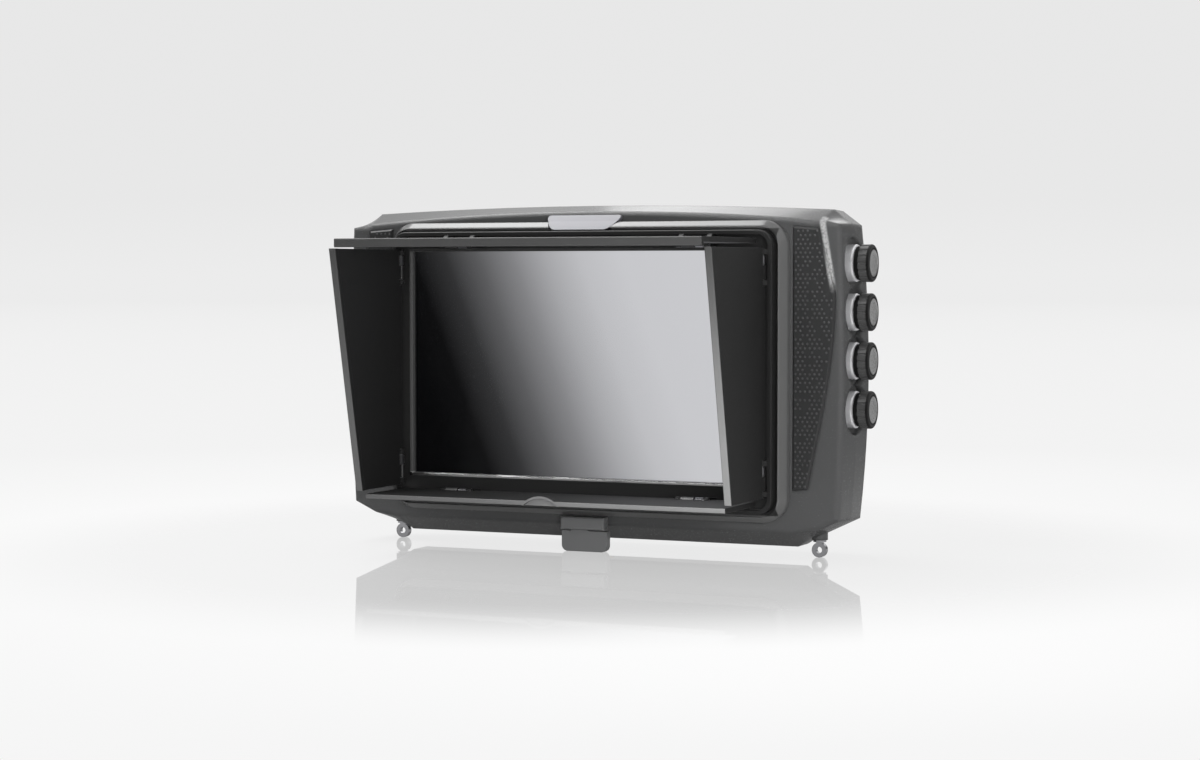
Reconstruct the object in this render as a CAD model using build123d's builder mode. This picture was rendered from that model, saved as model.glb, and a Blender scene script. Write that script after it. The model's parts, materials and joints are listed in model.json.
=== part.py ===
"""Field monitor with a four-flap folding sun hood.

The origin is the mouth of the tripod socket in the underside.  +X is to the right as seen
by someone watching the screen, +Y runs towards the back and +Z is up.
Depths are counted from the window plane of the hood frame towards the back, and heights
from the centre of the picture.  All sizes are in millimetres.
"""
from build123d import *
import os

os.makedirs("parts", exist_ok=True)

# ---- picture, body and common clearances ----
PICTURE_W, PICTURE_H = 152.4, 91.4
HALF_W, BODY_TOP, UNDERSIDE = 108.4, 64.3, 71.6
FACE_DEPTH, RIDGE_DEPTH, SPLIT_DEPTH, BACK_DEPTH = 6.0, 19.0, 31.0, 46.0
SOCKET_DEPTH = 24.0         # tripod socket and strap eyelets
WALL = 2.5
FIT = 0.3                   # gap between parts that are dropped into place
RUN = 0.05                  # radial clearance of a pin or shaft that turns
CUT = 1.0                   # how far a cut starts outside the part

# ---- hood frame ----
FRAME_SIDE, FRAME_HEAD, FRAME_SILL = 11.2, 11.8, 15.5      # frame beyond the picture's edges
FRAME_W = PICTURE_W + 2 * FRAME_SIDE
FRAME_TOP = PICTURE_H / 2 + FRAME_HEAD
FRAME_BOTTOM = -PICTURE_H / 2 - FRAME_SILL
FRAME_H, FRAME_MID = FRAME_TOP - FRAME_BOTTOM, (FRAME_TOP + FRAME_BOTTOM) / 2
FRAME_R = 10.0
BAND_SLOPE, BAND_LAND = 2.2, 0.4
LIP_INSET, LIP_WIDTH = 3.8, 1.8
BAND_FLANK_DEPTH, BAND_FRONT_DEPTH, GROOVE_DEPTH, LIP_FRONT_DEPTH = 3.0, -1.0, 1.0, -4.5
BAND_OUTER_R, BAND_INNER_R, LIP_R = 1.8, 1.0, 0.5
FLOOR_T = 2.0
RIM_T = 3.0
TRIM_W, TRIM_PROUD = 1.3, 0.4

# ---- hinges of the hood ----
PIN_R, PIN_LEN = 0.8, 14.0
KNUCKLE_WALL = 0.6
KNUCKLE_R = PIN_R + KNUCKLE_WALL
EAR_T = 2.0
EAR_AT = (PIN_LEN - EAR_T) / 2          # middle of each ear from the middle of its hinge
NOTCH_HALF, NOTCH_DEEP = PIN_LEN / 2 + FIT, KNUCKLE_R + 1.3
KNUCKLE_FROM, KNUCKLE_TO = -(PIN_LEN / 2 - EAR_T - FIT), 0.7

# ---- hood flaps ----
PANEL_T, BEAD_T, BEAD_W = 2.0, 3.0, 2.4
EDGE_R = 0.5
SIDE_AXIS_X = FRAME_W / 2 - 7.8
SIDE_AXIS_DEPTH = LIP_FRONT_DEPTH + FIT
SIDE_OUTER_X = SIDE_AXIS_X + 1.2
LID_GAP = 0.4                           # between a lid's end and the side flap beside it
LID_HALF_W = SIDE_OUTER_X - BEAD_T - LID_GAP
LID_AXIS_DEPTH, LID_ROOT_DEPTH = SIDE_AXIS_DEPTH - 3.3, LIP_FRONT_DEPTH - 0.7
TOP_AXIS_H = FRAME_TOP - 9.3
TOP_PANEL_TOP, TOP_LIP_H, TOP_FRONT = TOP_AXIS_H + 2.2, 3.5, -62.5
BOTTOM_AXIS_H = FRAME_BOTTOM + 8.9
BOTTOM_PANEL_TOP, BOTTOM_FRONT = BOTTOM_AXIS_H + 0.4, -38.0
SIDE_TOP, SIDE_BOTTOM = TOP_PANEL_TOP - TOP_LIP_H - LID_GAP, BOTTOM_PANEL_TOP + 1.3
SIDE_FRONT_TOP, SIDE_FRONT_BOTTOM = TOP_FRONT + 1.5, BOTTOM_FRONT - 2.0
HINGE_UP, HINGE_DOWN = SIDE_TOP - 7.4, SIDE_BOTTOM + 7.5
LID_HINGE_X = LID_HALF_W - 25.4
TAB_HALF_W, TAB_RISE, TAB_T, TAB_RIM, TAB_SCOOP = 8.2, 1.8, 2.5, 1.0, 1.2

# ---- knobs on the right-hand side ----
KNOB_COUNT, KNOB_TOP_H, KNOB_PITCH, KNOB_DEPTH = 4, 40.7, 19.1, 19.0
KNOB_HEIGHTS = [KNOB_TOP_H - KNOB_PITCH * place for place in range(KNOB_COUNT)]
KNOB_MIDDLE_H = (KNOB_HEIGHTS[0] + KNOB_HEIGHTS[-1]) / 2
KNOB_ROW = KNOB_HEIGHTS[0] - KNOB_HEIGHTS[-1]
KNOB_SPOTS = [(KNOB_DEPTH, height) for height in KNOB_HEIGHTS]
POCKET_X, POCKET_R = HALF_W - 1.2, 10.2
PAD_W = 2 * POCKET_R + 0.4
COLLAR_R, COLLAR_T, COLLAR_EDGE = 7.4, 3.7, 0.8
KNOB_R, KNOB_WAIST_R, KNOB_CAP_R = 7.4, 6.6, 5.4
KNOB_BASE, KNOB_BARREL, KNOB_SHOULDER, KNOB_DOME = 1.7, 3.4, 0.9, 1.2
KNOB_FROM = POCKET_X + COLLAR_T + 0.3
BARREL_FROM = KNOB_FROM + KNOB_BASE
SHOULDER_FROM = BARREL_FROM + KNOB_BARREL
CAP_FROM = SHOULDER_FROM + KNOB_SHOULDER
KNOB_TO = CAP_FROM + KNOB_DOME
KNOB_DOME_R = (KNOB_CAP_R**2 + KNOB_DOME**2) / (2 * KNOB_DOME)
CAP_SEAT, CAP_SEAT_W = 0.25, 0.5
RIB_COUNT, RIB_R = 16, 0.6
SHAFT_R, BUSH_R, FLAT_DEEP, SHAFT_PLAY = 2.0, 3.4, 0.5, 0.02
POT_W, POT_T = 11.0, 6.3

# ---- tally lamp ----
TALLY_TOP_W, TALLY_BOTTOM_W = 34.2, 25.4
TALLY_TOP, TALLY_BOTTOM, TALLY_BREAK = BODY_TOP - 4.1, FRAME_TOP - 3.3, FRAME_TOP + 0.3
TALLY_BREAK_DEPTH, TALLY_TIP_DEPTH = 2.6, BAND_FRONT_DEPTH - 0.6
TALLY_SLOT = (18.0, 3.0)

# ---- strap eyelets and tripod socket ----
EYELET_X = HALF_W - 14.6
EYELET_R, EYELET_HOLE_R, EYELET_T = 3.0, 1.3, 2.4
EYELET_BOTTOM, EYELET_SEAT = -UNDERSIDE - 4.4, -UNDERSIDE + 2.6
EYELET_STEM_R, EYELET_STEM, EYELET_FLANGE_R, EYELET_FLANGE = 1.5, 7.0, 2.6, 0.8
EYELET_BOSS_R, EYELET_BOSS = 3.2, 9.0
SOCKET_R, SOCKET_LEN, INSERT_R, INSERT_LEN, INSERT_WALL = 2.6, 8.0, 4.0, 10.0, 1.6

# ---- hood catch ----
CATCH_W, CATCH_BLOCK_TOP, CATCH_BLOCK_H = 19.2, FRAME_BOTTOM - 0.6, 5.2
CATCH_BLOCK_BOTTOM = CATCH_BLOCK_TOP - CATCH_BLOCK_H
CATCH_FRONT, CATCH_SKIN, CATCH_CHEEK, CATCH_EDGE = 1.5, 1.2, 3.3, 0.6
CATCH_AXIS_DEPTH, CATCH_AXIS_H = 4.4, CATCH_BLOCK_BOTTOM + 1.7
CATCH_PIN_R, CATCH_KNUCKLE_R, CATCH_KNUCKLE_TO = 0.7, 1.3, 1.6
CATCH_FORK = CATCH_W / 2 - CATCH_CHEEK
CATCH_PLATE_W, CATCH_PLATE_TOP, CATCH_TIP = 20.0, CATCH_BLOCK_BOTTOM - 0.6, EYELET_BOTTOM
CATCH_PLATE_FRONT, CATCH_PLATE_BACK, CATCH_CORNER_R = 4.0, 7.4, 2.6
CATCH_NECK_T, CATCH_NECK_OFF = 1.6, 0.4
HOOK_W, HOOK_DEPTH, HOOK_T, HOOK_FOOT = 8.0, 9.9, 1.2, 1.6
HOOK_TOP = CATCH_PLATE_TOP + 1.4


def facing(depth):
    """Plane seen from the front: x to the right, y up, extrusions come forwards."""
    return Plane(origin=(0, depth - SOCKET_DEPTH, UNDERSIDE), x_dir=(1, 0, 0), z_dir=(0, -1, 0))


def beside(x):
    """Plane seen from the right: x towards the back, y up, extrusions go to the right."""
    return Plane(origin=(x, -SOCKET_DEPTH, UNDERSIDE), x_dir=(0, 1, 0), z_dir=(1, 0, 0))


def above(height):
    """Plane seen from above: x to the right, y towards the back, extrusions go up."""
    return Plane(origin=(0, -SOCKET_DEPTH, UNDERSIDE + height), x_dir=(1, 0, 0), z_dir=(0, 0, 1))


def save(piece, name):
    piece.part.label = name
    export_step(piece.part, f"parts/{name}.step")


# ---- body outline at four depths ----
# Each point is given by how far it lies inside the widest half-width and, for top, corner and
# side, below the body's top, or, for low, knee and keel, above its underside.
STATIONS = {
    "face": dict(depth=FACE_DEPTH, top=2.8, corner=(9.4, 7.3), side=(0.4, 8.5),
                 low=(0.8, 12.1), knee=(9.4, 8.2), keel=(20.4, 6.7), bulge=1.2),
    "ridge": dict(depth=RIDGE_DEPTH, top=0.0, corner=(7.4, 2.5), side=(0.0, 8.3),
                  low=(0.0, 11.6), knee=(17.0, 3.2), keel=(22.0, 0.0), bulge=2.4),
    "split": dict(depth=SPLIT_DEPTH, top=0.3, corner=(7.8, 2.9), side=(0.0, 8.7),
                  low=(0.2, 11.2), knee=(17.0, 3.2), keel=(22.0, 0.0), bulge=3.2),
    "back": dict(depth=BACK_DEPTH, top=8.3, corner=(17.4, 10.5), side=(10.0, 16.3),
                 low=(10.2, 19.2), knee=(25.0, 11.6), keel=(29.0, 8.6), bulge=2.4),
}


def outline(name, inset=0.0, depth=None):
    """Closed front-view outline of the body at one station, pulled in by inset."""
    s = STATIONS[name]
    corner = (HALF_W - s["corner"][0] - inset, BODY_TOP - s["corner"][1] - inset)
    side = (HALF_W - s["side"][0] - inset, BODY_TOP - s["side"][1] - inset / 2)
    low = (HALF_W - s["low"][0] - inset, s["low"][1] - UNDERSIDE + inset / 2)
    knee = (HALF_W - s["knee"][0] - inset, s["knee"][1] - UNDERSIDE + inset)
    keel = (HALF_W - s["keel"][0] - inset, s["keel"][1] - UNDERSIDE + inset)
    waist = ((side[0] + low[0]) / 2 + s["bulge"], (side[1] + low[1]) / 2)
    with BuildSketch(facing(s["depth"] if depth is None else depth)) as sketch:
        with BuildLine():
            ThreePointArc((-corner[0], corner[1]), (0, BODY_TOP - s["top"] - inset), corner)
            Line(corner, side)
            ThreePointArc(side, waist, low)
            Polyline(low, knee, keel, (-keel[0], keel[1]), (-knee[0], knee[1]), (-low[0], low[1]))
            ThreePointArc((-low[0], low[1]), (-waist[0], waist[1]), (-side[0], side[1]))
            Line((-side[0], side[1]), (-corner[0], corner[1]))
        make_face()
    return sketch.sketch


# ---- display module sizes, shared by the shell, the frame and the stack ----
GLASS_W, GLASS_H, GLASS_T, GLASS_R, SEAL_T = PICTURE_W + 7.6, PICTURE_H + 7.6, 1.5, 2.0, 0.8
PANEL_W, PANEL_H, PANEL_D = PICTURE_W + 12.6, PICTURE_H + 12.6, 5.4
OPENING_W, OPENING_H = PANEL_W + 1.0, PANEL_H + 1.0
PANEL_FRONT = FLOOR_T + SEAL_T + GLASS_T
PANEL_BACK = PANEL_FRONT + PANEL_D
CELL_MARGIN, CELL_T, CELL_SUNK = 0.8, 0.5, 0.6

# ---- grips and case screws ----
GRIP_SUNK, GRIP_T, GRIP_EDGE = 1.0, 1.8, 0.7
GRIP_INNER_X = FRAME_W / 2 + 1.2
GRIP_TOP, GRIP_BOTTOM, GRIP_RISE = BODY_TOP - 9.9, 24.0 - UNDERSIDE, 0.8
BOSS_X, BOSS_UP, BOSS_DOWN = PANEL_W / 2 + 5.5, 45.0, -48.5
BOSS_XY = [(x, height) for x in (-BOSS_X, BOSS_X) for height in (BOSS_UP, BOSS_DOWN)]
BOSS_R, SCREW_R, SCREW_LEN = 3.6, 1.5, 12.0
SCREW_HEAD_R, SCREW_HEAD_T, SCREW_SUNK = 2.9, 1.8, 1.2
CROSS_L, CROSS_W, CROSS_DEEP = 3.6, 0.7, 0.9


def grip_outline(side, margin=0.0):
    """Textured inlay beside the hood frame; side is +1 on the right and -1 on the left."""
    top, bottom, inner = GRIP_TOP + margin, GRIP_BOTTOM - margin, GRIP_INNER_X - margin
    edge_x = HALF_W + margin
    with BuildLine() as edge:
        ThreePointArc((edge_x - 9.0, top), (edge_x - 6.2, top - 12.4), (edge_x - 2.4, top - 24.9))
        Spline(
            (edge_x - 2.4, top - 24.9), (edge_x - 4.2, top - 52.4),
            (edge_x - 8.0, top - 74.4), (edge_x - 13.8, bottom),
        )
        Polyline(
            (edge_x - 13.8, bottom), (inner, bottom - GRIP_RISE),
            (inner, top + GRIP_RISE), (edge_x - 9.0, top),
        )
    with BuildSketch() as flat:
        make_face(edge.edges())
        if side < 0:
            mirror(about=Plane.YZ, mode=Mode.REPLACE)
    return flat.sketch


def tally_outline(margin=0.0):
    """Trapezium of the tally lens, wider at the top."""
    upper, lower = TALLY_TOP_W / 2 + margin, TALLY_BOTTOM_W / 2 + margin
    top, bottom = TALLY_TOP + margin, TALLY_BOTTOM - margin
    with BuildSketch() as flat:
        with BuildLine():
            Polyline((-upper, top), (upper, top), (lower, bottom), (-lower, bottom), close=True)
        make_face()
    return flat.sketch


# ---- front shell ----
with BuildPart() as front_shell:
    loft([outline("face"), outline("ridge"), outline("split")], ruled=True)
    fillet(front_shell.faces().sort_by(Axis.Y)[0].edges(), 1.8)
    loft(
        [
            outline("face", WALL, FACE_DEPTH + WALL),
            outline("ridge", WALL),
            outline("split", WALL),
        ],
        ruled=True,
        mode=Mode.SUBTRACT,
    )
    # pad behind the knob pocket
    with BuildSketch(beside(POCKET_X - WALL)):
        with Locations((KNOB_DEPTH, KNOB_MIDDLE_H)):
            Rectangle(PAD_W, KNOB_ROW + PAD_W + 2 * WALL)
    extrude(amount=WALL + HALF_W - POCKET_X - 0.4)
    # bosses for the case screws
    with BuildSketch(facing(BACK_DEPTH - WALL)):
        with Locations(*BOSS_XY):
            Circle(BOSS_R)
    extrude(amount=BACK_DEPTH - FACE_DEPTH - 2 * WALL)
    with BuildSketch(facing(BACK_DEPTH - WALL)):
        with Locations(*BOSS_XY):
            Circle(SCREW_R)
    extrude(amount=SCREW_LEN + 4.0, mode=Mode.SUBTRACT)
    # window for the display module
    with BuildSketch(facing(FACE_DEPTH + WALL)):
        Rectangle(OPENING_W, OPENING_H)
    extrude(amount=WALL + CUT, mode=Mode.SUBTRACT)
    # scalloped knob pocket with its bushing holes
    with BuildSketch(beside(POCKET_X)):
        with Locations(*KNOB_SPOTS):
            Circle(POCKET_R)
    extrude(amount=KNOB_TO - POCKET_X, mode=Mode.SUBTRACT)
    with BuildSketch(beside(POCKET_X - WALL)):
        with Locations(*KNOB_SPOTS):
            Circle(BUSH_R + RUN)
    extrude(amount=WALL + CUT, mode=Mode.SUBTRACT)
    # seats of the two grips
    for grip_side in (1, -1):
        with BuildSketch(facing(FACE_DEPTH + GRIP_SUNK)):
            add(grip_outline(grip_side, FIT / 3))
        extrude(amount=GRIP_SUNK + CUT, mode=Mode.SUBTRACT)
    # light slot behind the tally lens
    with BuildSketch(facing(FACE_DEPTH + WALL)):
        with Locations((0, (TALLY_TOP + TALLY_BOTTOM) / 2)):
            Rectangle(*TALLY_SLOT)
    extrude(amount=WALL + CUT, mode=Mode.SUBTRACT)
    # boss of the tripod insert, and bosses of the strap eyelets
    with BuildSketch(above(-UNDERSIDE)):
        with Locations((0, SOCKET_DEPTH)):
            Circle(INSERT_R + INSERT_WALL)
    extrude(amount=INSERT_LEN + INSERT_WALL)
    with BuildSketch(above(-UNDERSIDE)):
        with Locations((0, SOCKET_DEPTH)):
            Circle(INSERT_R)
    extrude(amount=INSERT_LEN, mode=Mode.SUBTRACT)
    with BuildSketch(above(EYELET_SEAT)):
        with Locations((EYELET_X, SOCKET_DEPTH), (-EYELET_X, SOCKET_DEPTH)):
            Circle(EYELET_BOSS_R)
    extrude(amount=EYELET_BOSS)
    with BuildSketch(above(EYELET_SEAT)):
        with Locations((EYELET_X, SOCKET_DEPTH), (-EYELET_X, SOCKET_DEPTH)):
            Circle(EYELET_STEM_R + RUN)
    extrude(amount=EYELET_STEM + FIT, mode=Mode.SUBTRACT)
    # notch that the hood catch hooks into
    with BuildSketch(beside(-HOOK_W / 2 - FIT)):
        with Locations((HOOK_DEPTH, HOOK_TOP)):
            Rectangle(HOOK_T + 2 * FIT, 2.0)
    extrude(amount=HOOK_W + 2 * FIT, mode=Mode.SUBTRACT)
save(front_shell, "front_shell")

# ---- rear cover ----
BOARD_DEPTH, BOARD_T, BOARD_W, BOARD_H, BOARD_R = 37.6, 1.6, 150.0, 90.0, 2.0
STANDOFF_XY = [(x, height) for x in (-66.0, 66.0) for height in (36.0, -40.0)]
STANDOFF_R, BOARD_SCREW_R, BOARD_SCREW_HEAD_R, BOARD_SCREW_LEN = 3.0, 1.2, 2.3, 4.5
PORT_H = -30.0
BNC_XH, HDMI_X, DC_X = [(-52.0, PORT_H), (-30.0, PORT_H)], -4.0, 20.0
BNC_R, HDMI_SIZE, DC_SIZE = 4.8, (15.4, 6.2), (9.0, 11.0)
SWITCH_X, SWITCH_SIZE, BUTTON_X, BUTTON_R = 48.0, (12.4, 17.0), 68.0, 3.6
VENT_X, VENT_H, VENT_PITCH, VENT_COUNT, VENT_SIZE = 36.0, 20.0, 6.0, 8, (2.2, 30.0)
TONGUE_T, TONGUE_LEN, TONGUE_BURIED = 1.5, 1.3, 3.0

with BuildPart() as rear_cover:
    loft([outline("split"), outline("back")], ruled=True)
    fillet(rear_cover.faces().sort_by(Axis.Y)[-1].edges(), 2.0)
    loft(
        [outline("split", WALL), outline("back", WALL, BACK_DEPTH - WALL)],
        ruled=True,
        mode=Mode.SUBTRACT,
    )
    # tongue that centres the cover in the front shell
    extrude(
        outline("split", WALL + FIT / 2, SPLIT_DEPTH + TONGUE_BURIED)
        - outline("split", WALL + FIT / 2 + TONGUE_T, SPLIT_DEPTH + TONGUE_BURIED),
        amount=TONGUE_BURIED + TONGUE_LEN,
    )
    # standoffs of the main board
    with BuildSketch(facing(BACK_DEPTH - WALL)):
        with Locations(*STANDOFF_XY):
            Circle(STANDOFF_R)
    extrude(amount=BACK_DEPTH - WALL - BOARD_DEPTH)
    with BuildSketch(facing(BACK_DEPTH - WALL)):
        with Locations(*STANDOFF_XY):
            Circle(BOARD_SCREW_R + RUN)
    extrude(amount=BACK_DEPTH - WALL - BOARD_DEPTH, mode=Mode.SUBTRACT)
    # openings in the back wall
    with BuildSketch(facing(BACK_DEPTH + CUT)):
        with Locations(*BOSS_XY):
            Circle(SCREW_R + FIT)
        with Locations(*BNC_XH):
            Circle(BNC_R + FIT)
        with Locations((HDMI_X, PORT_H)):
            Rectangle(HDMI_SIZE[0] + 2 * FIT, HDMI_SIZE[1] + 2 * FIT)
        with Locations((DC_X, PORT_H)):
            Rectangle(DC_SIZE[0] + 2 * FIT, DC_SIZE[1] + 2 * FIT)
        with Locations((SWITCH_X, PORT_H)):
            Rectangle(SWITCH_SIZE[0] + 2 * FIT, SWITCH_SIZE[1] + 2 * FIT)
        with Locations((BUTTON_X, PORT_H)):
            Circle(BUTTON_R + FIT)
        with Locations((-VENT_X, VENT_H), (VENT_X, VENT_H)):
            with GridLocations(VENT_PITCH, 0, VENT_COUNT, 1):
                SlotOverall(VENT_SIZE[1], VENT_SIZE[0], rotation=90)
    extrude(amount=WALL + 2 * CUT, mode=Mode.SUBTRACT)
    with BuildSketch(facing(BACK_DEPTH + CUT)):
        with Locations(*BOSS_XY):
            Circle(SCREW_HEAD_R + FIT)
    extrude(amount=CUT + SCREW_SUNK, mode=Mode.SUBTRACT)
save(rear_cover, "rear_cover")

with BuildPart() as case_screws:
    with BuildSketch(facing(BACK_DEPTH - SCREW_SUNK + SCREW_HEAD_T)):
        with Locations(*BOSS_XY):
            Circle(SCREW_HEAD_R)
    extrude(amount=SCREW_HEAD_T)
    chamfer(case_screws.faces().group_by(Axis.Y)[-1].edges(), 0.5)
    with BuildSketch(facing(BACK_DEPTH - SCREW_SUNK)):
        with Locations(*BOSS_XY):
            Circle(SCREW_R - RUN)
    extrude(amount=SCREW_LEN)
    with BuildSketch(facing(BACK_DEPTH - SCREW_SUNK + SCREW_HEAD_T)):
        with Locations(*BOSS_XY):
            Rectangle(CROSS_L, CROSS_W)
            Rectangle(CROSS_W, CROSS_L)
    extrude(amount=CROSS_DEEP, mode=Mode.SUBTRACT)
save(case_screws, "case_screws")

# ---- hood frame ----
LIP_IN = LIP_INSET + LIP_WIDTH
WINDOW_W, WINDOW_H = PICTURE_W + 2 * TRIM_W, PICTURE_H + 2 * TRIM_W
CHANNEL_TOP, CHANNEL_BOTTOM, CHANNEL_X = FRAME_TOP - LIP_IN, FRAME_BOTTOM + LIP_IN, FRAME_W / 2 - LIP_IN
EAR_FOOT = 1.6


def frame_outline(inset):
    """Rounded front-view rectangle of the hood frame, pulled in by inset."""
    with BuildSketch() as flat:
        with Locations((0, FRAME_MID)):
            RectangleRounded(FRAME_W - 2 * inset, FRAME_H - 2 * inset, max(FRAME_R - inset, 2.0))
    return flat.sketch


def lid_ear(axis_height, wall_height):
    """Side view of an ear that carries a lid's pin in front of the frame."""
    towards_wall = 1 if wall_height > axis_height else -1
    near = axis_height - towards_wall * KNUCKLE_R / 2
    with BuildSketch() as flat:
        with Locations((LID_AXIS_DEPTH, axis_height)):
            Circle(KNUCKLE_R)
        with Locations((LIP_FRONT_DEPTH / 2, (near + wall_height) / 2)):
            Rectangle(-LIP_FRONT_DEPTH, abs(wall_height - near))
        make_hull()
    return flat.sketch


with BuildPart() as hood_frame:
    with BuildSketch(facing(FACE_DEPTH)):
        add(frame_outline(0))
    extrude(amount=FACE_DEPTH - BAND_FLANK_DEPTH)
    with BuildSketch(facing(BAND_FLANK_DEPTH)):
        add(frame_outline(0))
    with BuildSketch(facing(BAND_FRONT_DEPTH)):
        add(frame_outline(BAND_SLOPE))
    loft(ruled=True)
    band_front = hood_frame.faces().sort_by(Axis.Y)[0]
    fillet(band_front.edges(), BAND_INNER_R)
    fillet(
        [e for e in hood_frame.edges() if abs(e.center().Y + SOCKET_DEPTH - BAND_FLANK_DEPTH) < RUN],
        BAND_OUTER_R,
    )
    with BuildSketch(facing(GROOVE_DEPTH)):
        add(frame_outline(BAND_SLOPE + BAND_LAND))
        add(frame_outline(LIP_INSET), mode=Mode.SUBTRACT)
    extrude(amount=GROOVE_DEPTH - BAND_FRONT_DEPTH + CUT, mode=Mode.SUBTRACT)
    with BuildSketch(facing(GROOVE_DEPTH)):
        add(frame_outline(LIP_INSET))
    extrude(amount=GROOVE_DEPTH - LIP_FRONT_DEPTH)
    fillet(hood_frame.faces().sort_by(Axis.Y)[0].edges(), LIP_R)
    with BuildSketch(facing(0)):
        add(frame_outline(LIP_IN))
    extrude(amount=CUT - LIP_FRONT_DEPTH, mode=Mode.SUBTRACT)
    with BuildSketch(facing(FACE_DEPTH)):
        add(frame_outline(RIM_T))
    extrude(amount=FACE_DEPTH - FLOOR_T, mode=Mode.SUBTRACT)
    with BuildSketch(facing(FLOOR_T)):
        Rectangle(WINDOW_W, WINDOW_H)
    extrude(amount=FLOOR_T + CUT, mode=Mode.SUBTRACT)
    # ears of the side flaps
    for side in (-1, 1):
        for hinge in (HINGE_UP, HINGE_DOWN):
            for end in (-1, 1):
                with BuildSketch(above(hinge + end * EAR_AT - EAR_T / 2)):
                    with Locations((side * SIDE_AXIS_X, SIDE_AXIS_DEPTH)):
                        Circle(KNUCKLE_R)
                    with Locations((side * (CHANNEL_X - EAR_FOOT / 2 + FIT), SIDE_AXIS_DEPTH / 2 + FIT)):
                        Rectangle(EAR_FOOT, -SIDE_AXIS_DEPTH + 2 * FIT)
                    make_hull()
                extrude(amount=EAR_T)
    # ears of the top and bottom flaps
    lid_ears = ((TOP_AXIS_H, CHANNEL_TOP + FIT), (BOTTOM_AXIS_H, CHANNEL_BOTTOM - FIT))
    for axis_height, wall_height in lid_ears:
        for middle in (-LID_HINGE_X, LID_HINGE_X):
            for end in (-1, 1):
                with BuildSketch(beside(middle + end * EAR_AT - EAR_T / 2)):
                    add(lid_ear(axis_height, wall_height))
                extrude(amount=EAR_T)
    # pin holes
    with BuildSketch(above(SIDE_BOTTOM)):
        with Locations((-SIDE_AXIS_X, SIDE_AXIS_DEPTH), (SIDE_AXIS_X, SIDE_AXIS_DEPTH)):
            Circle(PIN_R + RUN)
    extrude(amount=SIDE_TOP - SIDE_BOTTOM, mode=Mode.SUBTRACT)
    with BuildSketch(beside(-LID_HALF_W)):
        with Locations((LID_AXIS_DEPTH, TOP_AXIS_H), (LID_AXIS_DEPTH, BOTTOM_AXIS_H)):
            Circle(PIN_R + RUN)
    extrude(amount=2 * LID_HALF_W, mode=Mode.SUBTRACT)
    # the tally lens interrupts the sloping band
    with BuildSketch(facing(FACE_DEPTH)):
        add(tally_outline(FIT / 2))
    extrude(amount=FACE_DEPTH - LIP_FRONT_DEPTH, mode=Mode.SUBTRACT)
save(hood_frame, "hood_frame")

with BuildPart() as screen_trim:
    with BuildSketch(facing(FLOOR_T)):
        Rectangle(WINDOW_W, WINDOW_H)
        Rectangle(PICTURE_W, PICTURE_H, mode=Mode.SUBTRACT)
    extrude(amount=FLOOR_T + TRIM_PROUD)
    chamfer(screen_trim.faces().sort_by(Axis.Y)[0].inner_wires()[0].edges(), 0.5)
save(screen_trim, "screen_trim")

# ---- display stack behind the window ----
with BuildPart() as screen_seal:
    with BuildSketch(facing(FLOOR_T + SEAL_T)):
        RectangleRounded(GLASS_W, GLASS_H, GLASS_R)
        Rectangle(PICTURE_W, PICTURE_H, mode=Mode.SUBTRACT)
    extrude(amount=SEAL_T)
save(screen_seal, "screen_seal")

with BuildPart() as screen_glass:
    with BuildSketch(facing(FLOOR_T + SEAL_T + GLASS_T)):
        RectangleRounded(GLASS_W, GLASS_H, GLASS_R)
    extrude(amount=GLASS_T)
save(screen_glass, "screen_glass")

with BuildPart() as lcd_panel:
    with BuildSketch(facing(PANEL_BACK)):
        Rectangle(PANEL_W, PANEL_H)
    extrude(amount=PANEL_D)
    with BuildSketch(facing(PANEL_FRONT + CELL_SUNK)):
        Rectangle(PICTURE_W + 2 * CELL_MARGIN + FIT, PICTURE_H + 2 * CELL_MARGIN + FIT)
    extrude(amount=CELL_SUNK, mode=Mode.SUBTRACT)
save(lcd_panel, "lcd_panel")

with BuildPart() as lcd_cell:
    with BuildSketch(facing(PANEL_FRONT + CELL_SUNK)):
        Rectangle(PICTURE_W + 2 * CELL_MARGIN, PICTURE_H + 2 * CELL_MARGIN)
    extrude(amount=CELL_T)
save(lcd_cell, "lcd_cell")

TRAY_T, TRAY_EAR_W, TRAY_EAR_H = 1.0, 8.0, 72.0
TRAY_EAR_X = OPENING_W / 2 + 1.0 + TRAY_EAR_W / 2
TRAY_HOLES, TRAY_SLOT, TRAY_SLOT_PITCH = (4, 3), (24.0, 9.0), (36.0, 30.0)
with BuildPart() as backlight_tray:
    with BuildSketch(facing(PANEL_BACK + TRAY_T)):
        Rectangle(PANEL_W, PANEL_H)
        Rectangle(2 * TRAY_EAR_X + TRAY_EAR_W, TRAY_EAR_H)
    extrude(amount=TRAY_T)
    with BuildSketch(facing(PANEL_BACK)):
        with Locations((-TRAY_EAR_X, 0), (TRAY_EAR_X, 0)):
            Rectangle(TRAY_EAR_W, TRAY_EAR_H)
    extrude(amount=PANEL_BACK - FACE_DEPTH - WALL)
    with BuildSketch(facing(PANEL_BACK + TRAY_T)):
        with GridLocations(*TRAY_SLOT_PITCH, *TRAY_HOLES):
            SlotOverall(*TRAY_SLOT)
    extrude(amount=TRAY_T, mode=Mode.SUBTRACT)
save(backlight_tray, "backlight_tray")

# ---- boards ----
with BuildPart() as main_board:
    with BuildSketch(facing(BOARD_DEPTH)):
        RectangleRounded(BOARD_W, BOARD_H, BOARD_R)
        with Locations(*STANDOFF_XY):
            Circle(BOARD_SCREW_R + FIT, mode=Mode.SUBTRACT)
    extrude(amount=BOARD_T)
save(main_board, "main_board")

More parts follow.
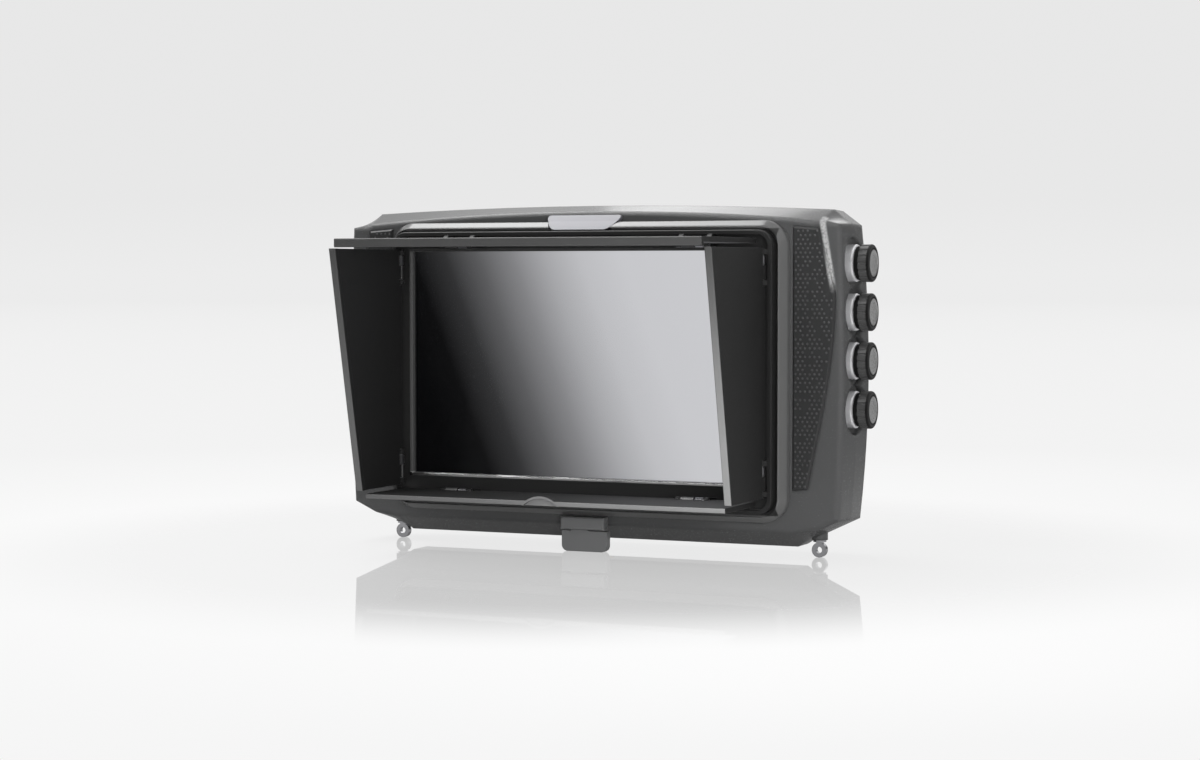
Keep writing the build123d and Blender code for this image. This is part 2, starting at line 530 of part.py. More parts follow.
CHIPS = (  # centre x, centre height, width, height, thickness
    (-22.0, 12.0, 24.0, 24.0, 2.0), (14.0, 14.0, 14.0, 14.0, 1.4), (14.0, -8.0, 10.0, 18.0, 1.2),
    (-48.0, 18.0, 12.0, 8.0, 2.6), (44.0, 22.0, 12.0, 12.0, 6.0), (44.0, 2.0, 10.0, 10.0, 6.0),
)
with BuildPart() as board_chips:
    for x, height, width, tall, thick in CHIPS:
        with BuildSketch(facing(BOARD_DEPTH - BOARD_T)):
            with Locations((x, height)):
                Rectangle(width, tall)
        extrude(amount=thick)
save(board_chips, "board_chips")

with BuildPart() as board_screws:
    with BuildSketch(facing(BOARD_DEPTH - BOARD_T)):
        with Locations(*STANDOFF_XY):
            Circle(BOARD_SCREW_HEAD_R)
    extrude(amount=1.6)
    with BuildSketch(facing(BOARD_DEPTH + BOARD_SCREW_LEN)):
        with Locations(*STANDOFF_XY):
            Circle(BOARD_SCREW_R)
    extrude(amount=BOARD_SCREW_LEN + BOARD_T)
save(board_screws, "board_screws")

RIBBON_W, RIBBON_T, RIBBON_R = 40.0, 0.4, 1.2
RIBBON_H, RIBBON_LOW = -46.0, -48.6
with BuildPart() as panel_ribbon:
    with BuildSketch(beside(-RIBBON_W / 2)):
        with BuildLine():
            FilletPolyline(
                (PANEL_BACK + TRAY_T + RIBBON_T, RIBBON_H), (PANEL_BACK + TRAY_T + 2.0, RIBBON_LOW),
                (BOARD_DEPTH - BOARD_T - 2.0, RIBBON_LOW),
                (BOARD_DEPTH - BOARD_T - RIBBON_T, RIBBON_H + 3.0),
                radius=RIBBON_R,
            )
            offset(amount=RIBBON_T / 2, side=Side.BOTH)
        make_face()
    extrude(amount=RIBBON_W)
save(panel_ribbon, "panel_ribbon")

# ---- sockets, switch and button in the back ----
BNC_BODY, BNC_REACH, BNC_BARREL_T, BNC_CUP = 14.0, 10.0, 0.9, 9.0
BNC_CORE_R, BNC_PIN_R, BNC_PIN_DEEP = 2.4, 0.7, 6.0
BNC_LUG_R, BNC_LUG_LEN, BNC_LUG_AT = 1.0, 1.6, 7.4
with BuildPart() as bnc_jacks:
    with BuildSketch(facing(BACK_DEPTH - WALL)):
        with Locations(*BNC_XH):
            Rectangle(BNC_BODY, BNC_BODY)
    extrude(amount=BACK_DEPTH - WALL - BOARD_DEPTH)
    with BuildSketch(facing(BACK_DEPTH + BNC_REACH)):
        with Locations(*BNC_XH):
            Circle(BNC_R)
    extrude(amount=WALL + BNC_REACH)
    with BuildSketch(facing(BACK_DEPTH + BNC_REACH)):
        with Locations(*BNC_XH):
            Circle(BNC_R - BNC_BARREL_T)
            Circle(BNC_CORE_R, mode=Mode.SUBTRACT)
    extrude(amount=BNC_CUP, mode=Mode.SUBTRACT)
    with BuildSketch(facing(BACK_DEPTH + BNC_REACH)):
        with Locations(*BNC_XH):
            Circle(BNC_PIN_R)
    extrude(amount=BNC_PIN_DEEP, mode=Mode.SUBTRACT)
    for x, height in BNC_XH:
        for lug_x in (x - BNC_R - BNC_BARREL_T, x + BNC_R + BNC_BARREL_T - BNC_LUG_LEN):
            with BuildSketch(beside(lug_x)):
                with Locations((BACK_DEPTH + BNC_LUG_AT, height)):
                    Circle(BNC_LUG_R)
            extrude(amount=BNC_LUG_LEN)
save(bnc_jacks, "bnc_jacks")

SOCKET_PROUD = 0.4
HDMI_HALF, HDMI_UP, HDMI_DOWN, HDMI_CORNER, HDMI_CUP = 7.1, 2.4, 2.3, 1.9, 6.5
HDMI_TONGUE = (11.0, 1.0)
with BuildPart() as hdmi_socket:
    with BuildSketch(facing(BACK_DEPTH + SOCKET_PROUD)):
        with Locations((HDMI_X, PORT_H)):
            Rectangle(*HDMI_SIZE)
    extrude(amount=BACK_DEPTH + SOCKET_PROUD - BOARD_DEPTH)
    with BuildSketch(facing(BACK_DEPTH + SOCKET_PROUD)):
        with BuildLine():
            Polyline(
                (HDMI_X - HDMI_HALF, PORT_H + HDMI_UP),
                (HDMI_X + HDMI_HALF, PORT_H + HDMI_UP),
                (HDMI_X + HDMI_HALF, PORT_H - HDMI_DOWN + HDMI_CORNER),
                (HDMI_X + HDMI_HALF - HDMI_CORNER, PORT_H - HDMI_DOWN),
                (HDMI_X - HDMI_HALF + HDMI_CORNER, PORT_H - HDMI_DOWN),
                (HDMI_X - HDMI_HALF, PORT_H - HDMI_DOWN + HDMI_CORNER),
                close=True,
            )
        make_face()
        with Locations((HDMI_X, PORT_H + SOCKET_PROUD)):
            Rectangle(*HDMI_TONGUE, mode=Mode.SUBTRACT)
    extrude(amount=HDMI_CUP, mode=Mode.SUBTRACT)
save(hdmi_socket, "hdmi_socket")

DC_BORE_R, DC_PIN_R, DC_CUP = 3.0, 1.05, 7.0
with BuildPart() as power_socket:
    with BuildSketch(facing(BACK_DEPTH + SOCKET_PROUD)):
        with Locations((DC_X, PORT_H)):
            Rectangle(*DC_SIZE)
    extrude(amount=BACK_DEPTH + SOCKET_PROUD - BOARD_DEPTH)
    with BuildSketch(facing(BACK_DEPTH + SOCKET_PROUD)):
        with Locations((DC_X, PORT_H)):
            Circle(DC_BORE_R)
            Circle(DC_PIN_R, mode=Mode.SUBTRACT)
    extrude(amount=DC_CUP, mode=Mode.SUBTRACT)
save(power_socket, "power_socket")

ROCKER_R, ROCKER_W, ROCKER_TILT, ROCKER_AXIS_DEPTH = 6.4, 8.6, 7.0, BACK_DEPTH - 2.6
ROCKER_PIN_R, ROCKER_PIN_LEN, ROCKER_VALLEY, ROCKER_CREST = 1.0, 1.1, 3.4, 5.2
SWITCH_FLANGE, SWITCH_FLANGE_T, SWITCH_FLOOR = 1.2, 0.8, 1.0
with BuildPart() as switch_housing:
    with BuildSketch(facing(BACK_DEPTH + SWITCH_FLANGE_T)):
        with Locations((SWITCH_X, PORT_H)):
            RectangleRounded(SWITCH_SIZE[0] + 2 * SWITCH_FLANGE, SWITCH_SIZE[1] + 2 * SWITCH_FLANGE, 1.5)
    extrude(amount=SWITCH_FLANGE_T)
    with BuildSketch(facing(BACK_DEPTH)):
        with Locations((SWITCH_X, PORT_H)):
            Rectangle(*SWITCH_SIZE)
    extrude(amount=BACK_DEPTH - BOARD_DEPTH)
    with BuildSketch(facing(BACK_DEPTH + SWITCH_FLANGE_T)):
        with Locations((SWITCH_X, PORT_H)):
            Rectangle(ROCKER_W + 2 * FIT, 2 * ROCKER_R + 2 * FIT)
    extrude(amount=BACK_DEPTH + SWITCH_FLANGE_T - BOARD_DEPTH - SWITCH_FLOOR, mode=Mode.SUBTRACT)
    with BuildSketch(beside(SWITCH_X - ROCKER_W / 2 - ROCKER_PIN_LEN - RUN)):
        with Locations((ROCKER_AXIS_DEPTH, PORT_H)):
            Circle(ROCKER_PIN_R + RUN)
    extrude(amount=ROCKER_W + 2 * ROCKER_PIN_LEN + 2 * RUN, mode=Mode.SUBTRACT)
save(switch_housing, "switch_housing")

with BuildPart() as level_rocker:
    with BuildSketch(beside(SWITCH_X - ROCKER_W / 2)):
        with Locations((ROCKER_AXIS_DEPTH, PORT_H)):
            Circle(ROCKER_R)
        with Locations((ROCKER_AXIS_DEPTH - ROCKER_R - 1.6, PORT_H)):
            Rectangle(2 * ROCKER_R, 2 * ROCKER_R, mode=Mode.SUBTRACT)
        for end in (-1, 1):
            with BuildLine(mode=Mode.PRIVATE) as wedge:
                Polyline(
                    (ROCKER_AXIS_DEPTH + ROCKER_VALLEY, PORT_H),
                    (ROCKER_AXIS_DEPTH + ROCKER_CREST, PORT_H + end * (ROCKER_R + FIT)),
                    (ROCKER_AXIS_DEPTH + ROCKER_R + CUT, PORT_H + end * (ROCKER_R + FIT)),
                    (ROCKER_AXIS_DEPTH + ROCKER_R + CUT, PORT_H),
                    close=True,
                )
            make_face(wedge.edges(), mode=Mode.SUBTRACT)
    extrude(amount=ROCKER_W)
    with BuildSketch(beside(SWITCH_X - ROCKER_W / 2 - ROCKER_PIN_LEN)):
        with Locations((ROCKER_AXIS_DEPTH, PORT_H)):
            Circle(ROCKER_PIN_R)
    extrude(amount=ROCKER_W + 2 * ROCKER_PIN_LEN)
ROCKER_AXIS = Axis((SWITCH_X, ROCKER_AXIS_DEPTH - SOCKET_DEPTH, UNDERSIDE + PORT_H), (1, 0, 0))
with BuildPart() as power_rocker:
    add(level_rocker.part.rotate(ROCKER_AXIS, -ROCKER_TILT))
save(power_rocker, "power_rocker")

BUTTON_TRAVEL, BUTTON_PROUD, BUTTON_FLANGE, BUTTON_FLANGE_T, BUTTON_STEM_R = 0.8, 1.4, 1.2, 1.0, 1.6
TACT_W, TACT_T = 6.2, 1.1
BUTTON_INNER_DEPTH = BACK_DEPTH - WALL - FIT
with BuildPart() as input_button:
    with BuildSketch(facing(BACK_DEPTH + BUTTON_PROUD)):
        with Locations((BUTTON_X, PORT_H)):
            Circle(BUTTON_R)
    extrude(amount=BACK_DEPTH + BUTTON_PROUD - BUTTON_INNER_DEPTH)
    fillet(input_button.faces().sort_by(Axis.Y)[-1].edges(), 0.6)
    with BuildSketch(facing(BUTTON_INNER_DEPTH)):
        with Locations((BUTTON_X, PORT_H)):
            Circle(BUTTON_R + BUTTON_FLANGE)
    extrude(amount=BUTTON_FLANGE_T)
    with BuildSketch(facing(BUTTON_INNER_DEPTH - BUTTON_FLANGE_T)):
        with Locations((BUTTON_X, PORT_H)):
            Circle(BUTTON_STEM_R)
    extrude(amount=BUTTON_INNER_DEPTH - BUTTON_FLANGE_T - BOARD_DEPTH - TACT_T - BUTTON_TRAVEL - 2 * RUN)
save(input_button, "input_button")

with BuildPart() as input_switch:
    with BuildSketch(facing(BOARD_DEPTH + TACT_T)):
        with Locations((BUTTON_X, PORT_H)):
            Rectangle(TACT_W, TACT_W)
    extrude(amount=TACT_T)
save(input_switch, "input_switch")

# ---- side flaps of the hood ----
with BuildPart() as right_flap:
    with BuildSketch(beside(SIDE_OUTER_X - PANEL_T)):
        with BuildLine():
            Polyline(
                (LID_ROOT_DEPTH + FIT, SIDE_BOTTOM), (LID_ROOT_DEPTH + FIT, SIDE_TOP),
                (SIDE_FRONT_TOP, SIDE_TOP), (SIDE_FRONT_BOTTOM, SIDE_BOTTOM), close=True,
            )
        make_face()
    extrude(amount=PANEL_T)
    # thicker bead along the slanted front edge
    with BuildSketch(beside(SIDE_OUTER_X - BEAD_T)):
        with BuildLine():
            Polyline(
                (SIDE_FRONT_TOP + BEAD_W, SIDE_TOP), (SIDE_FRONT_TOP, SIDE_TOP),
                (SIDE_FRONT_BOTTOM, SIDE_BOTTOM), (SIDE_FRONT_BOTTOM + BEAD_W, SIDE_BOTTOM), close=True,
            )
        make_face()
    extrude(amount=BEAD_T)
    front_middle = (SIDE_FRONT_TOP + SIDE_FRONT_BOTTOM) / 2 - SOCKET_DEPTH
    long_edges = [edge for edge in right_flap.edges() if edge.length > SIDE_TOP]
    fillet([edge for edge in long_edges if edge.center().Y < front_middle + RUN], EDGE_R)
    for hinge in (HINGE_UP, HINGE_DOWN):
        with BuildSketch(beside(SIDE_OUTER_X - BEAD_T)):
            with Locations((SIDE_AXIS_DEPTH, hinge)):
                Rectangle(2 * NOTCH_DEEP, 2 * NOTCH_HALF)
        extrude(amount=BEAD_T, mode=Mode.SUBTRACT)
        with BuildSketch(above(hinge + KNUCKLE_FROM)):
            with Locations((SIDE_AXIS_X, SIDE_AXIS_DEPTH)):
                Circle(KNUCKLE_R)
            with Locations((SIDE_OUTER_X - PANEL_T / 2, SIDE_AXIS_DEPTH - NOTCH_DEEP / 2 - FIT)):
                Rectangle(PANEL_T, NOTCH_DEEP + 2 * FIT)
        extrude(amount=KNUCKLE_TO - KNUCKLE_FROM)
    with BuildSketch(above(SIDE_BOTTOM)):
        with Locations((SIDE_AXIS_X, SIDE_AXIS_DEPTH)):
            Circle(PIN_R + RUN)
    extrude(amount=SIDE_TOP - SIDE_BOTTOM, mode=Mode.SUBTRACT)
save(right_flap, "right_flap")

with BuildPart() as left_flap:
    add(mirror(right_flap.part, about=Plane.YZ, mode=Mode.PRIVATE))
save(left_flap, "left_flap")


# ---- top and bottom flaps of the hood ----
def lid(axis_height, panel_low, panel_high, front):
    """Plain panel of a top or bottom flap with its notches and pin knuckles."""
    with BuildPart() as panel:
        with BuildSketch(beside(-LID_HALF_W)):
            with Locations(((LID_ROOT_DEPTH + front) / 2, (panel_low + panel_high) / 2)):
                Rectangle(LID_ROOT_DEPTH - front, panel_high - panel_low)
        extrude(amount=2 * LID_HALF_W)
        for middle in (-LID_HINGE_X, LID_HINGE_X):
            with BuildSketch(beside(middle - NOTCH_HALF)):
                with Locations((LID_AXIS_DEPTH, axis_height)):
                    Rectangle(2 * NOTCH_DEEP, 4 * PANEL_T)
            extrude(amount=2 * NOTCH_HALF, mode=Mode.SUBTRACT)
            with BuildSketch(beside(middle + KNUCKLE_FROM)):
                with Locations((LID_AXIS_DEPTH, axis_height)):
                    Circle(KNUCKLE_R)
                with Locations((LID_AXIS_DEPTH - NOTCH_DEEP / 2 - FIT, (panel_low + panel_high) / 2)):
                    Rectangle(NOTCH_DEEP + 2 * FIT, panel_high - panel_low)
                with Locations((LID_AXIS_DEPTH, axis_height)):
                    Circle(PIN_R + RUN, mode=Mode.SUBTRACT)
            extrude(amount=KNUCKLE_TO - KNUCKLE_FROM)
    return panel.part


with BuildPart() as top_flap:
    add(lid(TOP_AXIS_H, TOP_PANEL_TOP - PANEL_T, TOP_PANEL_TOP, TOP_FRONT))
    with BuildSketch(beside(-LID_HALF_W)):
        with Locations((TOP_FRONT + BEAD_W / 2, TOP_PANEL_TOP - TOP_LIP_H / 2)):
            Rectangle(BEAD_W, TOP_LIP_H)
    extrude(amount=2 * LID_HALF_W)
    fillet(top_flap.faces().sort_by(Axis.Y)[0].edges().filter_by(Axis.X), EDGE_R)
save(top_flap, "top_flap")

BOTTOM_PANEL_LOW = BOTTOM_PANEL_TOP - PANEL_T
with BuildPart() as bottom_flap:
    add(lid(BOTTOM_AXIS_H, BOTTOM_PANEL_LOW, BOTTOM_PANEL_TOP, BOTTOM_FRONT))
    fillet(bottom_flap.faces().sort_by(Axis.Y)[0].edges().filter_by(Axis.X), EDGE_R)
    # finger tab: a raised arc with a scoop in front of it
    with BuildSketch(facing(BOTTOM_FRONT + TAB_T)):
        with BuildLine():
            ThreePointArc(
                (-TAB_HALF_W, BOTTOM_PANEL_LOW),
                (0, BOTTOM_PANEL_TOP + TAB_RISE),
                (TAB_HALF_W, BOTTOM_PANEL_LOW),
            )
            Line((TAB_HALF_W, BOTTOM_PANEL_LOW), (-TAB_HALF_W, BOTTOM_PANEL_LOW))
        make_face()
    extrude(amount=TAB_T)
    with BuildSketch(facing(BOTTOM_FRONT + TAB_SCOOP)):
        with BuildLine():
            ThreePointArc(
                (TAB_RIM - TAB_HALF_W, BOTTOM_PANEL_LOW), (0, BOTTOM_PANEL_TOP + TAB_RISE - TAB_RIM),
                (TAB_HALF_W - TAB_RIM, BOTTOM_PANEL_LOW),
            )
            Line((TAB_HALF_W - TAB_RIM, BOTTOM_PANEL_LOW), (TAB_RIM - TAB_HALF_W, BOTTOM_PANEL_LOW))
        make_face()
    extrude(amount=TAB_SCOOP + CUT, mode=Mode.SUBTRACT)
save(bottom_flap, "bottom_flap")

# ---- hinge pins and springs ----
SIDE_HINGES = [(side * SIDE_AXIS_X, hinge) for side in (-1, 1) for hinge in (HINGE_UP, HINGE_DOWN)]
LID_AXES = [(LID_AXIS_DEPTH, TOP_AXIS_H), (LID_AXIS_DEPTH, BOTTOM_AXIS_H)]
SPRING_R, SPRING_BORE_R = KNUCKLE_R - RUN, PIN_R + 2 * RUN
SPRING_LEN = PIN_LEN / 2 - EAR_T - KNUCKLE_TO - 2 * FIT

with BuildPart() as hinge_pins:
    for x, hinge in SIDE_HINGES:
        with BuildSketch(above(hinge - PIN_LEN / 2)):
            with Locations((x, SIDE_AXIS_DEPTH)):
                Circle(PIN_R)
        extrude(amount=PIN_LEN)
    for middle in (-LID_HINGE_X, LID_HINGE_X):
        with BuildSketch(beside(middle - PIN_LEN / 2)):
            with Locations(*LID_AXES):
                Circle(PIN_R)
        extrude(amount=PIN_LEN)
save(hinge_pins, "hinge_pins")

with BuildPart() as flap_springs:
    for x, hinge in SIDE_HINGES:
        with BuildSketch(above(hinge + KNUCKLE_TO + FIT)):
            with Locations((x, SIDE_AXIS_DEPTH)):
                Circle(SPRING_R)
                Circle(SPRING_BORE_R, mode=Mode.SUBTRACT)
        extrude(amount=SPRING_LEN)
    for middle in (-LID_HINGE_X, LID_HINGE_X):
        with BuildSketch(beside(middle + KNUCKLE_TO + FIT)):
            with Locations(*LID_AXES):
                Circle(SPRING_R)
            with Locations(*LID_AXES):
                Circle(SPRING_BORE_R, mode=Mode.SUBTRACT)
        extrude(amount=SPRING_LEN)
save(flap_springs, "flap_springs")

# ---- control knobs ----
POT_X = POCKET_X - WALL - POT_T
SHAFT_FROM, SHAFT_TO = POT_X + 1.0, KNOB_TO - 2.2


def shaft_profile(radius):
    """Round shaft with one flat, centred on a knob's axis."""
    with BuildSketch() as flat:
        Circle(radius)
        with Locations((0, radius)):
            Rectangle(2 * radius, 2 * FLAT_DEEP, mode=Mode.SUBTRACT)
    return flat.sketch


for number, height in enumerate(KNOB_HEIGHTS, start=1):
    with BuildPart() as knob:
        with BuildSketch(facing(KNOB_DEPTH)):
            with BuildLine():
                Polyline(
                    (KNOB_TO, height),
                    (KNOB_FROM, height),
                    (KNOB_FROM, height + KNOB_WAIST_R),
                    (BARREL_FROM, height + KNOB_WAIST_R),
                    (BARREL_FROM, height + KNOB_R),
                    (SHOULDER_FROM, height + KNOB_R),
                )
                RadiusArc(
                    (SHOULDER_FROM, height + KNOB_R),
                    (CAP_FROM, height + KNOB_R - KNOB_SHOULDER),
                    KNOB_SHOULDER,
                )
                Polyline(
                    (CAP_FROM, height + KNOB_R - KNOB_SHOULDER),
                    (CAP_FROM, height + KNOB_CAP_R + CAP_SEAT_W),
                    (CAP_FROM - CAP_SEAT, height + KNOB_CAP_R + CAP_SEAT_W),
                    (CAP_FROM - CAP_SEAT, height + KNOB_CAP_R),
                    (CAP_FROM, height + KNOB_CAP_R),
                )
                RadiusArc((CAP_FROM, height + KNOB_CAP_R), (KNOB_TO, height), KNOB_DOME_R)
            make_face()
        revolve(axis=Axis((0, KNOB_DEPTH - SOCKET_DEPTH, UNDERSIDE + height), (1, 0, 0)))
        with BuildSketch(beside(BARREL_FROM)):
            with Locations((KNOB_DEPTH, height)):
                with PolarLocations(KNOB_R + RUN, RIB_COUNT):
                    Circle(RIB_R)
        extrude(amount=KNOB_BARREL, mode=Mode.SUBTRACT)
        with BuildSketch(beside(KNOB_FROM)):
            with Locations((KNOB_DEPTH, height)):
                add(shaft_profile(SHAFT_R + SHAFT_PLAY))
        extrude(amount=SHAFT_TO - KNOB_FROM, mode=Mode.SUBTRACT)
    save(knob, f"knob_{number}")

    with BuildPart() as shaft:
        with BuildSketch(beside(SHAFT_FROM)):
            with Locations((KNOB_DEPTH, height)):
                Circle(SHAFT_R)
        extrude(amount=KNOB_FROM - SHAFT_FROM)
        with BuildSketch(beside(KNOB_FROM)):
            with Locations((KNOB_DEPTH, height)):
                add(shaft_profile(SHAFT_R))
        extrude(amount=SHAFT_TO - KNOB_FROM)
    save(shaft, f"knob_shaft_{number}")

with BuildPart() as knob_pots:
    with BuildSketch(beside(POT_X)):
        with Locations(*KNOB_SPOTS):
            Rectangle(POT_W, POT_W)
    extrude(amount=POT_T)
    with BuildSketch(beside(POCKET_X - WALL)):
        with Locations(*KNOB_SPOTS):
            Circle(BUSH_R)
    extrude(amount=KNOB_FROM - FIT - POCKET_X + WALL)
    with BuildSketch(beside(SHAFT_FROM - RUN)):
        with Locations(*KNOB_SPOTS):
            Circle(SHAFT_R + RUN)
    extrude(amount=KNOB_TO - SHAFT_FROM, mode=Mode.SUBTRACT)
save(knob_pots, "knob_pots")

with BuildPart() as knob_collars:
    with BuildSketch(beside(POCKET_X)):
        with Locations(*KNOB_SPOTS):
            Circle(COLLAR_R)
    extrude(amount=COLLAR_T)
    fillet(knob_collars.faces().group_by(Axis.X)[-1].edges(), COLLAR_EDGE)
    with BuildSketch(beside(POCKET_X)):
        with Locations(*KNOB_SPOTS):
            Circle(BUSH_R + RUN)
    extrude(amount=COLLAR_T, mode=Mode.SUBTRACT)
save(knob_collars, "knob_collars")

CONTROL_BOARD_W, CONTROL_BOARD_MARGIN = 17.0, 9.0
with BuildPart() as control_board:
    with BuildSketch(beside(POT_X - BOARD_T)):
        with Locations((KNOB_DEPTH, KNOB_MIDDLE_H)):
            Rectangle(CONTROL_BOARD_W, KNOB_ROW + 2 * CONTROL_BOARD_MARGIN)
    extrude(amount=BOARD_T)
save(control_board, "control_board")

# ---- grips ----
for grip_side, name in ((1, "right_grip"), (-1, "left_grip")):
    with BuildPart() as grip:
        with BuildSketch(facing(FACE_DEPTH + GRIP_SUNK)):
            add(grip_outline(grip_side))
        extrude(amount=GRIP_T)
        chamfer(grip.faces().sort_by(Axis.Y)[0].edges(), GRIP_EDGE)
    save(grip, name)

# ---- tally lamp ----
with BuildPart() as tally_lens:
    with BuildSketch(facing(FACE_DEPTH)):
        add(tally_outline())
    extrude(amount=FACE_DEPTH - TALLY_TIP_DEPTH)
    with BuildSketch(beside(-TALLY_TOP_W / 2)):
        with BuildLine():
            Polyline(
                (FACE_DEPTH, TALLY_TOP), (FACE_DEPTH - 0.9, TALLY_TOP), (TALLY_BREAK_DEPTH, TALLY_BREAK),
                (TALLY_TIP_DEPTH, TALLY_BOTTOM), (FACE_DEPTH, TALLY_BOTTOM), close=True,
            )
        make_face()
    extrude(amount=TALLY_TOP_W, mode=Mode.INTERSECT)
save(tally_lens, "tally_lens")

TALLY_BOARD_W, TALLY_BOARD_H, TALLY_BOARD_T = 26.0, 3.2, 1.2
LAMP_COUNT, LAMP_PITCH, LAMP_SIZE = 3, 5.0, (3.0, 2.0)
TALLY_BOARD_MID = BODY_TOP - STATIONS["face"]["top"] - WALL - 0.2 - TALLY_BOARD_H / 2
with BuildPart() as tally_board:
    with BuildSketch(facing(FACE_DEPTH + WALL + TALLY_BOARD_T)):
        with Locations((0, TALLY_BOARD_MID)):
            Rectangle(TALLY_BOARD_W, TALLY_BOARD_H)
    extrude(amount=TALLY_BOARD_T)
    with BuildSketch(facing(FACE_DEPTH + WALL)):
        with Locations((0, TALLY_BOARD_MID)):
            with GridLocations(LAMP_PITCH, 0, LAMP_COUNT, 1):
                Rectangle(*LAMP_SIZE)
    extrude(amount=TALLY_BOARD_T)
save(tally_board, "tally_board")

# ---- hood catch ----
with BuildPart() as catch_block:
    with BuildSketch(facing(FACE_DEPTH)):
        with Locations((0, (CATCH_BLOCK_TOP + CATCH_BLOCK_BOTTOM) / 2)):
            Rectangle(CATCH_W, CATCH_BLOCK_H)
    extrude(amount=FACE_DEPTH - CATCH_FRONT)
    chamfer(catch_block.faces().sort_by(Axis.Y)[0].edges(), CATCH_EDGE)
    with BuildSketch(facing(FACE_DEPTH)):
        with Locations((0, CATCH_BLOCK_BOTTOM)):
            Rectangle(2 * CATCH_FORK, 2 * (CATCH_AXIS_H + CATCH_KNUCKLE_R + FIT - CATCH_BLOCK_BOTTOM))
    extrude(amount=FACE_DEPTH - CATCH_FRONT - CATCH_SKIN, mode=Mode.SUBTRACT)
    with BuildSketch(beside(-CATCH_W / 2)):
        with Locations((CATCH_AXIS_DEPTH, CATCH_AXIS_H)):
            Circle(CATCH_PIN_R + RUN)
    extrude(amount=CATCH_W, mode=Mode.SUBTRACT)
save(catch_block, "catch_block")

with BuildPart() as hood_catch:
    # knuckle and neck, which leave room for the spring on the right
    with BuildSketch(beside(FIT - CATCH_FORK)):
        with Locations((CATCH_AXIS_DEPTH, CATCH_AXIS_H)):
            Circle(CATCH_KNUCKLE_R)
        neck_middle = (CATCH_AXIS_H + CATCH_PLATE_TOP - CATCH_NECK_OFF) / 2
        with Locations((CATCH_AXIS_DEPTH + CATCH_NECK_OFF, neck_middle)):
            Rectangle(CATCH_NECK_T, CATCH_AXIS_H - CATCH_PLATE_TOP + CATCH_NECK_OFF)
    extrude(amount=CATCH_FORK - FIT + CATCH_KNUCKLE_TO)
    # finger plate
    with BuildSketch(facing(CATCH_PLATE_BACK)):
        with Locations((0, (CATCH_PLATE_TOP + CATCH_TIP) / 2)):
            Rectangle(CATCH_PLATE_W, CATCH_PLATE_TOP - CATCH_TIP)
    extrude(amount=CATCH_PLATE_BACK - CATCH_PLATE_FRONT)
    fillet(hood_catch.edges().filter_by(Axis.Y).group_by(Axis.Z)[0], CATCH_CORNER_R)
    # hook that snaps into the notch in the shell
    with BuildSketch(beside(-HOOK_W / 2)):
        with BuildLine():
            Polyline(
                (CATCH_PLATE_BACK - 0.5, CATCH_PLATE_TOP),
                (CATCH_PLATE_BACK - 0.5, CATCH_PLATE_TOP - HOOK_FOOT),
                (HOOK_DEPTH + HOOK_T / 2, CATCH_PLATE_TOP - HOOK_FOOT),
                (HOOK_DEPTH + HOOK_T / 2, HOOK_TOP),
                (HOOK_DEPTH - HOOK_T / 2, HOOK_TOP),
                (HOOK_DEPTH - HOOK_T / 2, CATCH_PLATE_TOP),
                close=True,
            )
        make_face()
    extrude(amount=HOOK_W)
    with BuildSketch(beside(-CATCH_W / 2)):
        with Locations((CATCH_AXIS_DEPTH, CATCH_AXIS_H)):
            Circle(CATCH_PIN_R + RUN)
    extrude(amount=CATCH_W, mode=Mode.SUBTRACT)
save(hood_catch, "hood_catch")

with BuildPart() as catch_pin:
    with BuildSketch(beside(-CATCH_W / 2)):
        with Locations((CATCH_AXIS_DEPTH, CATCH_AXIS_H)):
            Circle(CATCH_PIN_R)
    extrude(amount=CATCH_W)
save(catch_pin, "catch_pin")

with BuildPart() as catch_spring:
    with BuildSketch(beside(CATCH_KNUCKLE_TO + FIT)):
        with Locations((CATCH_AXIS_DEPTH, CATCH_AXIS_H)):
            Circle(CATCH_KNUCKLE_R)
            Circle(CATCH_PIN_R + 2 * RUN, mode=Mode.SUBTRACT)
    extrude(amount=CATCH_FORK - CATCH_KNUCKLE_TO - 2 * FIT)
save(catch_spring, "catch_spring")

# ---- strap eyelets and tripod socket ----
EYELET_MID = EYELET_BOTTOM + EYELET_R
with BuildPart() as strap_eyelets:
    for x in (-EYELET_X, EYELET_X):
        with BuildSketch(facing(SOCKET_DEPTH + EYELET_T / 2)):
            with Locations((x, EYELET_MID)):
                Circle(EYELET_R)
            with Locations((x, (EYELET_MID + EYELET_SEAT) / 2)):
                Rectangle(EYELET_T, EYELET_SEAT - EYELET_MID)
            with Locations((x, EYELET_MID)):
                Circle(EYELET_HOLE_R, mode=Mode.SUBTRACT)
        extrude(amount=EYELET_T)
        with BuildSketch(above(EYELET_SEAT - EYELET_FLANGE)):
            with Locations((x, SOCKET_DEPTH)):
                Circle(EYELET_FLANGE_R)
        extrude(amount=EYELET_FLANGE)
        with BuildSketch(above(EYELET_SEAT)):
            with Locations((x, SOCKET_DEPTH)):
                Circle(EYELET_STEM_R)
        extrude(amount=EYELET_STEM)
save(strap_eyelets, "strap_eyelets")

with BuildPart() as tripod_socket:
    with BuildSketch(above(-UNDERSIDE)):
        with Locations((0, SOCKET_DEPTH)):
            Circle(INSERT_R)
    extrude(amount=INSERT_LEN)
    with BuildSketch(above(-UNDERSIDE)):
        with Locations((0, SOCKET_DEPTH)):
            Circle(SOCKET_R)
    extrude(amount=SOCKET_LEN, mode=Mode.SUBTRACT)
save(tripod_socket, "tripod_socket")
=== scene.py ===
# Camera field monitor with a folding sun hood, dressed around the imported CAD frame.
# Metres throughout: +X right of the picture, +Y to the back, +Z up, tripod socket at the origin.
import json
import math

import bmesh
import bpy
from mathutils import Matrix, Vector


